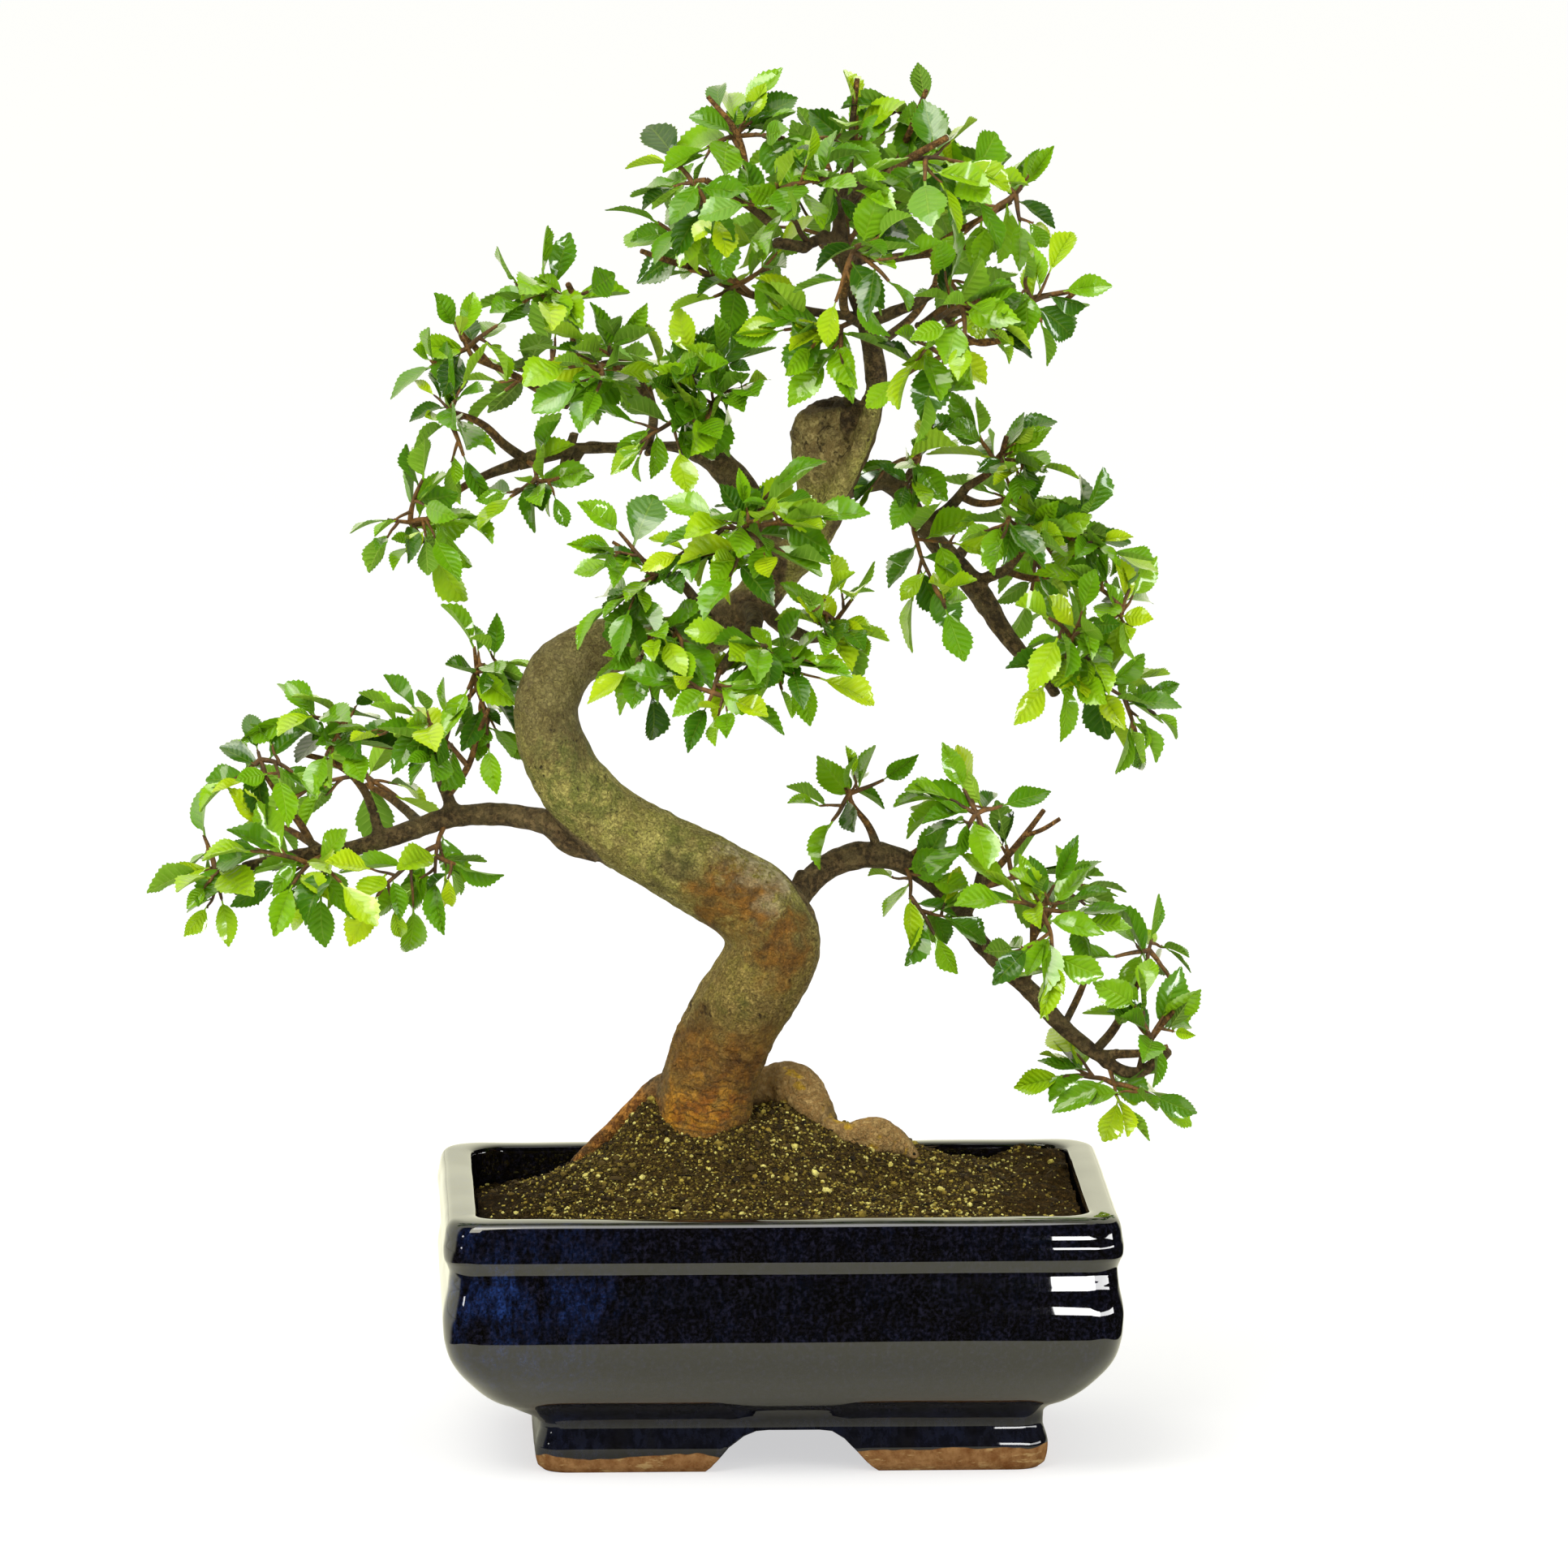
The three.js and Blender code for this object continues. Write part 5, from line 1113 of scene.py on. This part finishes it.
leaf = {
    "length": 16.5, "halfWidth": 0.29, "thickness": 0.018, "stalk": 0.085, "stalkRadius": 0.021,
    "stalkOverlap": 0.09, "teeth": (0.93, 1.04), "spacing": 5, "turn": (40, 64), "twigRadius": 0.95,
    "seatStep": 3, "shortTwig": 12, "longTwig": 22, "shoot": (7, 15), "bowUp": 0.1, "bowAside": 0.3,
    "extraShoots": 1, "bareOfExtra": ("crown",), "extraReach": (3, 8), "extraSize": (0.5, 0.9),
    "fold": (10, 46), "arch": (-12, 48), "twist": 20, "breadth": (0.9, 1.18), "lean": 0.035,
    "roll": 26, "pitch": 13, "skyward": 0.75, "shrink": 0.94, "tone": (0.41, 0.21), "smooth": 70,
    # Of the paler tones below, the one for low leaves is a painted glow on the lower leaves of each pad
    "shootPaler": 0.10, "tipPaler": 0.12, "lowPaintedGlow": 0.08, "fewPaler": (0.94, 0.25),
    "twigThick": 0.88, "shootThick": 0.6, "taper": 0.42, "sway": 0.28,
    "shapes": {  # half width along the leaf, and teeth on each side
        "oval": ([(0, 0), (0.12, 0.48), (0.27, 0.82), (0.45, 1), (0.64, 0.86), (0.81, 0.48), (0.93, 0.17),
                  (1, 0)], 12),
        "egg": ([(0, 0), (0.15, 0.38), (0.34, 0.75), (0.54, 1), (0.72, 0.86), (0.86, 0.47), (0.95, 0.18),
                 (1, 0)], 11),
        "lance": ([(0, 0), (0.12, 0.40), (0.30, 0.72), (0.47, 0.82), (0.66, 0.68), (0.84, 0.36), (0.94, 0.13),
                   (1, 0)], 12),
    },
}

pads = {
    "crown": {
        "middle": (24, 5, 357),
        "sprays": [
            [(-16, 5, 397), (-7, 2, 394), (-20, -4, 387), (2, -8, 390)],
            [(24, 4, 395), (12, -12, 390), (32, 8, 390)],
            [(44, 9, 398), (50, 4, 386), (34, 2, 396)],
            [(54, -24, 384), (42, -38, 380), (58, -26, 374)],
            [(73, 12, 373), (61, 14, 378), (72, 4, 364), (56, 2, 361)],
            [(83, -24, 346), (77, -22, 337), (72, -30, 351)],
            [(56, -42, 344), (53, -44, 333), (63, -40, 337)],
            [(48, -26, 325), (36, -28, 321), (39, -36, 333)],
            [(10, -16, 329), (19, -20, 325), (2, -14, 334)],
            [(-12, 6, 347), (-2, -4, 351), (-25, 10, 349), (-18, 4, 342), (-34, 12, 363)],
            [(-27, -10, 377), (-19, -14, 366), (-29, -6, 383)],
            [(23, -52, 363), (16, -40, 345), (31, -50, 352)],
            [(-1, -32, 379), (11, -42, 380), (24, -40, 382)],
            [(22, 50, 365), (2, 40, 359), (15, 42, 383), (-6, 34, 347), (39, 38, 378), (53, 36, 368)],
            [(51, 52, 348), (59, 44, 335), (39, 50, 360)],
        ],
    },
    "upperLeft": {
        "middle": (-53, 28, 307),
        "sprays": [
            [(-68, 16, 347), (-74, 8, 340), (-55, 10, 343)],
            [(-94, 5, 333), (-101, 4, 322), (-82, 10, 333)],
            [(-98, 2, 305), (-94, -6, 313), (-92, 6, 295)],
            [(-114, 14, 275), (-104, 6, 288), (-101, 18, 265), (-95, 6, 276)],
            [(-70, 6, 286), (-64, 0, 289), (-78, 4, 283)],
            [(-61, -4, 322), (-49, -6, 329), (-53, -12, 316)],
            [(-30, -4, 315), (-40, -6, 300), (-25, 0, 325)],
            [(-12, 0, 315), (-17, 4, 324), (-21, -6, 306)],
            [(-65, 58, 321), (-50, 62, 316), (-79, 52, 309), (-36, 56, 316)],
        ],
    },
    "right": {
        "middle": (67, 24, 259),
        "sprays": [
            [(70, 12, 298), (61, 18, 298), (78, 0, 292)],
            [(43, 10, 295), (32, 4, 291), (40, 6, 285)],
            [(92, 12, 275), (99, 4, 266), (83, 4, 272)],
            [(77, 4, 274), (68, -8, 278), (66, -14, 272)],
            [(105, 8, 254), (100, 4, 246), (92, 0, 257)],
            [(90, -4, 243), (80, -10, 248), (93, 0, 234), (80, 2, 227)],
            [(104, 14, 221), (113, 16, 216), (108, 14, 209), (96, 18, 218)],
            [(47, 4, 256), (50, -2, 250)],
            [(80, 58, 269), (90, 54, 252), (71, 54, 282), (78, 56, 245)],
        ],
    },
    "centre": {
        "middle": (-6, -6, 248),
        "sprays": [
            [(-38, -36, 263), (-47, -36, 277), (-49, -32, 255)],
            [(-42, -38, 243), (-38, -40, 231), (-29, -44, 244)],
            [(-22, -52, 228), (-13, -50, 229), (-29, -50, 234)],
            [(0, -46, 232), (9, -44, 239), (-6, -52, 245)],
            [(21, -30, 256), (19, -32, 244), (9, -36, 254)],
            [(-19, -36, 278), (-15, -44, 265), (-26, -34, 271), (-8, -42, 281), (-2, -32, 289), (8, -32, 280),
             (1, -38, 271)],
        ],
    },
    "lowerLeft": {
        "middle": (-126, 8, 189),
        "sprays": [
            [(-89, 4, 238), (-81, 0, 233), (-91, 2, 226), (-85, 0, 209)],
            [(-106, -10, 220), (-98, -14, 209), (-119, -8, 215)],
            [(-129, 2, 218), (-142, 0, 218), (-133, -8, 208)],
            [(-153, 0, 208), (-160, -2, 200), (-143, -8, 203)],
            [(-170, 3, 172), (-164, 0, 164), (-169, 4, 182)],
            [(-143, -12, 170), (-129, -14, 171), (-155, -12, 180)],
            [(-101, -4, 170), (-118, -8, 166), (-95, -6, 175)],
            [(-124, 44, 201), (-112, 40, 189), (-138, 44, 191), (-150, 36, 180)],
        ],
    },
    "lowerRight": {
        "middle": (74, 8, 149),
        "sprays": [
            [(22, 8, 195), (32, 4, 198), (17, 4, 186)],
            [(56, 2, 195), (67, 4, 190), (48, 0, 193), (54, -6, 181)],
            [(40, 4, 163), (47, 2, 152)],
            [(82, -8, 168), (89, -4, 159), (68, -14, 164), (81, -18, 143)],
            [(112, 8, 149), (101, 2, 145), (118, 10, 137)],
            [(115, -4, 128), (111, -10, 122), (106, -10, 132)],
            [(101, 0, 104), (86, 8, 108), (112, -4, 104)],
            [(79, 38, 166), (94, 40, 155), (70, 34, 174)],
        ],
    },
}


def randomFrom(seed):
    state = seed * 7919 + 17

    def draw():
        nonlocal state
        state = state * 16807 % 2147483647
        return state / 2147483647
    return draw


def unit(way):
    return way / math.sqrt(way @ way)


def seatsAlong(points, radii):
    seats = []
    for start, end, radius in zip(points, points[1:], radii):
        span = end - start
        steps = max(1, math.floor(np.linalg.norm(span) / leaf["seatStep"] + 0.5))
        seats += [(start + span * (step / steps), unit(span), radius) for step in range(steps)]
    seats.append((points[-1], unit(points[-1] - points[-2]), radii[-1]))
    return seats


def padSeats(pad):
    seats = []
    for name, points in wood.items():
        if name.startswith(pad) or (pad == "crown" and name == "leader"):
            places = [np.array(point[:3], float) for point in points]
            seats += seatsAlong(places, [point[3] for point in points])
    return seats


def seatFor(tip, seats):
    best, least = None, math.inf
    for seat in seats:
        way = tip - seat[0]
        reach = math.sqrt(way @ way)
        cost = reach * (1.5 - way @ seat[1] / reach) if reach > leaf["spacing"] else math.inf
        if cost < least:
            best, least = seat, cost
    return best


def growSpray(tips, middle, seats, seed):
    draw = randomFrom(seed)
    twigs, leaves, own = [], [], []

    def addLeaf(place, heading, side, size, turn, shade):
        out = unit(place - middle)
        x = out[0] * 0.7 + (draw() - 0.5) * 1.1
        y = out[1] * 0.5 + (-0.55 if out[1] < 0.25 else 0.55) + (draw() - 0.5) * 0.8
        z = out[2] * 0.4 + 0.5 + (draw() - 0.5) * 0.9
        face = unit(np.array((x, y, z)))
        up = unit(face - 0.9 * (face @ heading) * heading)
        across = unit(np.cross(heading, up))
        axis = unit(heading * math.cos(turn) + across * side * math.sin(turn))
        normal = unit(up - (up @ axis) * axis)
        leaves.append((place, axis, normal, size * leaf["length"], side == 0, shade))

    def addLeaves(at, along, reach, first, shade):
        count = max(1, math.floor((reach - first) / leaf["spacing"]))
        for i in range(count):
            t = (first + (reach - first) * i / count) / reach
            full = 0.7 + 0.4 * math.sin(math.pi * min(1, t * 0.9 + 0.1))
            size = full * (0.8 + 0.4 * draw())
            least, most = leaf["turn"]
            turn = math.radians(least + (most - least) * draw())
            addLeaf(at(t), along(t), 1 if i % 2 else -1, size, turn, shade)
        addLeaf(at(1), along(1), 0, 0.8 + 0.35 * draw(), 0, shade)

    for order, tip in enumerate(tips):
        seat, _, radius = seatFor(tip, own if order else seats)
        span = tip - seat
        reach = float(np.linalg.norm(span))
        aside = unit(np.cross(span, (0, 0, 1)))
        bow = reach if reach > leaf["shortTwig"] else 0
        knee = seat + span * 0.5 + np.array((0, 0, leaf["bowUp"] * bow))
        knee = knee + aside * ((draw() - 0.5) * leaf["bowAside"] * bow)

        def at(t, seat=seat, knee=knee, tip=tip):
            return seat * (1 - t) ** 2 + knee * (2 * t * (1 - t)) + tip * t * t

        def along(t, seat=seat, knee=knee, tip=tip):
            return unit((knee - seat) * (1 - t) + (tip - knee) * t)

        twigs.append((at, reach, True))
        bare = min(1.5 * radius + 2, 0.6 * reach)
        path = seatsAlong([at(0), at(1 / 3), at(2 / 3), at(1)], [leaf["twigRadius"]] * 4)
        own += [one for one in path if order or np.linalg.norm(one[0] - seat) > bare]
        addLeaves(at, along, reach, (0.2 if order else 0.3) * reach, 0)
        for i in range(2 if reach > leaf["longTwig"] else int(reach > leaf["shortTwig"])):
            t = 0.42 + 0.26 * i
            root, heading = at(t), along(t)
            up = unit(unit(root - middle) + np.array((0, 0, 0.8)))
            across = unit(np.cross(heading, up))
            turn = math.radians(42 + 16 * draw())
            hand = 1 if (i + seed) % 2 else -1
            away = heading * math.cos(turn) + across * (hand * math.sin(turn))
            away = unit(away + up * ((draw() - 0.5) * 0.5))
            shortest, longest = leaf["shoot"]
            length = min(longest, max(shortest, (0.5 - 0.1 * i) * reach * (0.85 + 0.3 * draw())))

            def straight(u, root=root, away=away, length=length):
                return root + away * (length * u)

            twigs.append((straight, length, False))
            addLeaves(straight, lambda t, away=away: away, length, leaf["seatStep"], 1)
    return twigs, leaves


def makeBlade(name, outline, teeth):
    rows = 2 * teeth
    nothingSelected()
    bpy.ops.mesh.primitive_grid_add(x_subdivisions=rows, y_subdivisions=2, size=1, location=(0, 0, 0))
    blade = bpy.context.object
    blade.name = name
    line = np.array(throughPoints(outline, 6))
    flat = blade.data.uv_layers.active.data
    for loop in blade.data.loops:
        x, y, _ = blade.data.vertices[loop.vertex_index].co
        flat[loop.index].uv = (x + 0.5, y + 0.5)
    for vertex in blade.data.vertices:
        u, v = vertex.co.x + 0.5, vertex.co.y * 2
        half = float(np.interp(u, line[:, 0], line[:, 1])) * leaf["halfWidth"]
        row = round(u * rows)
        if abs(v) > 0.9 and 0 < row < rows:  # every second place along the edge is a tooth
            half *= leaf["teeth"][row % 2]
            u += 0.5 / rows if row % 2 else -0.1 / rows
        vertex.co = (leaf["stalk"] + u * (1 - leaf["stalk"]), v * half, 0)
    blade.data.attributes.new("underside", "FLOAT", "FACE")
    editFaces(blade, lambda face: True)
    bpy.ops.mesh.duplicate_move(TRANSFORM_OT_translate={"value": (0, 0, 0)})
    bpy.ops.mesh.flip_normals()
    mesh = bmesh.from_edit_mesh(blade.data)
    under = mesh.faces.layers.float["underside"]
    for face in mesh.faces:
        if face.select:
            face[under] = 1
    for vertex in mesh.verts:
        if vertex.select and abs(vertex.co.y) < 1e-4 and 0.1 < vertex.co.x < 0.97:
            vertex.co.z = -leaf["thickness"]
    bmesh.update_edit_mesh(blade.data)
    bpy.ops.mesh.select_all(action="SELECT")
    bpy.ops.mesh.remove_doubles(threshold=1e-4)
    bpy.ops.object.mode_set(mode="OBJECT")
    reach = leaf["stalk"] + leaf["stalkOverlap"]
    bpy.ops.mesh.primitive_cylinder_add(vertices=5, radius=leaf["stalkRadius"], depth=reach,
                                        rotation=(0, math.pi / 2, 0), location=(reach / 2 - 0.01, 0, -0.012))
    stalk = applyPlace()
    setCorners(stalk, (0.02, 0.5))
    blade = joinAll([blade, stalk])
    setMarks(blade.data, "tone", [0.0] * len(blade.data.vertices))
    blade.data.materials.append(leafFinish)
    return blade


def setCorners(piece, uv):  # the whole piece takes its colour from one spot of the leaf
    for corner in piece.data.uv_layers.active.data:
        corner.uv = uv


def makeBud():
    nothingSelected()
    bpy.ops.mesh.primitive_ico_sphere_add(subdivisions=1, radius=0.6, location=(0, 0, 0))
    bud = bpy.context.object
    for vertex in bud.data.vertices:
        vertex.co = vertex.co * 0.55
        vertex.co.z = vertex.co.z * 1.5 + 0.3
    setCorners(bud, (0.3, 0.8))
    setMarks(bud.data, "tone", [0.9] * len(bud.data.vertices))
    bud.data.materials.append(twigBark)
    return bud


def bendBlade(flat, length, draw):  # folds, arches, twists and waves a flat blade
    x, y, z = flat.T
    fold = math.radians(draw.uniform(*leaf["fold"]))
    arch = math.radians(draw.uniform(*leaf["arch"]))
    twist = math.radians(draw.gauss(0, leaf["twist"]))
    bent = np.abs(y) * math.sin(fold) + z
    bent = bent + 0.02 * np.sin(x * draw.uniform(9, 15) + draw.uniform(0, 6)) * np.abs(y) / leaf["halfWidth"]
    across = y * math.cos(fold) * draw.uniform(*leaf["breadth"])
    across = across + draw.gauss(0, leaf["lean"]) * x * x
    angle = twist * x
    across, bent = (across * np.cos(angle) - bent * np.sin(angle),
                    across * np.sin(angle) + bent * np.cos(angle))
    turn = arch * np.clip(x, 0, 1)
    straight = abs(arch) < 0.02
    along = x if straight else np.sin(turn) / arch
    drop = np.zeros_like(x) if straight else -(1 - np.cos(turn)) / arch
    along = along + bent * np.sin(turn)
    return np.stack([along, across, drop + bent * np.cos(turn)], axis=1) * length


def placeLeaf(pattern, leafFacts, draw, middle):
    place, axis, normal, length, atEnd, shade = leafFacts
    copy = copyOf(pattern)
    normal = normal + np.array((0, 0, leaf["skyward"]))  # blades turn their upper faces to the sky
    normal = unit(normal - (normal @ axis) * axis)
    turn = Matrix.Rotation(math.radians(draw.gauss(0, leaf["roll"])), 3, Vector(axis))
    across = Vector(np.cross(normal, axis))
    turn = Matrix.Rotation(math.radians(draw.gauss(0, leaf["pitch"])), 3, across) @ turn
    axis, normal = np.array(turn @ Vector(axis)), np.array(turn @ Vector(normal))
    across = np.cross(normal, axis)
    bent = bendBlade(readPlaces(pattern).astype(float), length, draw)
    turned = np.outer(bent[:, 0], axis) + np.outer(bent[:, 1], across) + np.outer(bent[:, 2], normal)
    size = 1.0
    while np.any(place + turned * size < boxLow) or np.any(place + turned * size > boxHigh):
        size *= leaf["shrink"]
    setPlaces(copy.data, place + turned * size)
    young = leaf["shootPaler"] * shade + (leaf["tipPaler"] if atEnd else 0)
    # Leaves below the middle of their pad are painted paler, as a painted glow of light on them
    low = leaf["lowPaintedGlow"] if place[2] < middle[2] else 0
    tone = draw.gauss(*leaf["tone"]) + young + low
    mostly, paler = leaf["fewPaler"]
    tone = min(1.0, max(0.0, tone if draw.random() < mostly else tone + paler))
    setMarks(copy.data, "tone", [tone] * len(copy.data.vertices))
    return copy


def placeBud(bud, place, axis, normal, draw):
    copy = copyOf(bud)
    way = Vector(unit(axis * 0.8 + normal * 0.6))
    turn = way.to_track_quat("Z", "Y").to_matrix().to_4x4()
    copy.data.transform(Matrix.Translation(Vector(place)) @ turn @ Matrix.Scale(draw.uniform(0.7, 1.2), 4))
    return copy


def twigLine(at, reach, main, draw):  # a twig turns a little at each leaf and thins towards its end
    steps = max(3, round(reach / 4))
    thick = leaf["twigThick"] if main else leaf["shootThick"]
    line = []
    for step in range(steps + 1):
        t = step / steps
        sway = 0 if step in (0, steps) else leaf["sway"]
        x, y, z = at(t) + np.array([draw.uniform(-sway, sway) for _ in range(3)])
        line.append((x, y, z, thick * (1 - leaf["taper"] * t)))
    return line


def addShoots(twigs, leaves, middle, draw):  # small side shoots that only the finished tree has
    for at, reach, main in list(twigs):
        for _ in range(leaf["extraShoots"] if main else draw.choice((0, 0, 1))):
            t = draw.uniform(0.2, 0.92)
            root, heading = at(t), unit(at(t + 0.05) - at(t - 0.05))
            anyway = np.array([draw.gauss(0, 1) for _ in range(3)])
            way = unit(unit(anyway) + heading * 0.5 + unit(root - middle) * 0.45)
            length = draw.uniform(*leaf["extraReach"])

            def straight(u, root=root, way=way, length=length):
                return root + way * (length * u)

            twigs.append((straight, length, False))
            for order in range(draw.choice((1, 2, 2, 3))):
                face = unit(np.array([draw.gauss(0, 0.5), draw.gauss(-0.4, 0.5), draw.gauss(0.6, 0.4)]))
                side = unit(np.cross(way, face))
                axis = unit(way + side * (0 if order == 0 else 1.3 * (1 if order == 1 else -1)))
                normal = unit(face - (face @ axis) * axis)
                size = draw.uniform(*leaf["extraSize"]) * leaf["length"]
                leaves.append((straight(1 - 0.35 * order), axis, normal, size, order == 0, 1))


def makeSprays():
    blades = {name: makeBlade(name, *shape) for name, shape in leaf["shapes"].items()}
    bud = makeBud()
    count, number = 0, 0
    for pad, facts in pads.items():
        seats = padSeats(pad)
        middle = np.array(facts["middle"], float)
        for order, tips in enumerate(facts["sprays"], 1):
            number += 1
            node = "spray_" + "".join("_" + c.lower() if c.isupper() else c for c in pad) + f"_{order:02d}"
            twigs, leaves = growSpray([np.array(tip, float) for tip in tips], middle, seats, number)
            draw = random.Random(number)
            if pad not in leaf["bareOfExtra"] or order % 2:
                addShoots(twigs, leaves, middle, draw)
            tubes = makeTubes(node + "_twigs", [twigLine(*twig, draw) for twig in twigs], 1, 3)
            tubes.data.materials.append(twigBark)
            parts = [tubes]
            for one in leaves:
                kinds = ["oval", "egg", "lance"] if one[4] else ["oval", "oval", "egg", "egg", "lance"]
                parts.append(placeLeaf(blades[draw.choice(kinds)], one, draw, middle))
                parts.append(placeBud(bud, *one[:3], draw))
            count += len(leaves)
            spray = joinAll(parts)
            smoothTo(spray, leaf["smooth"])
            settle(spray, "leafy_" + node, [node])
    removeAll([*blades.values(), bud])
    print(f"leaves: {count} on {number} sprays")


makeSprays()

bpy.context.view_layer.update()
triangles = {piece.name: sum(len(face.vertices) - 2 for face in piece.data.polygons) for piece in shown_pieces()}
most = max(triangles, key=triangles.get)
print("triangles:", sum(triangles.values()), "most in one piece:", most, triangles[most])
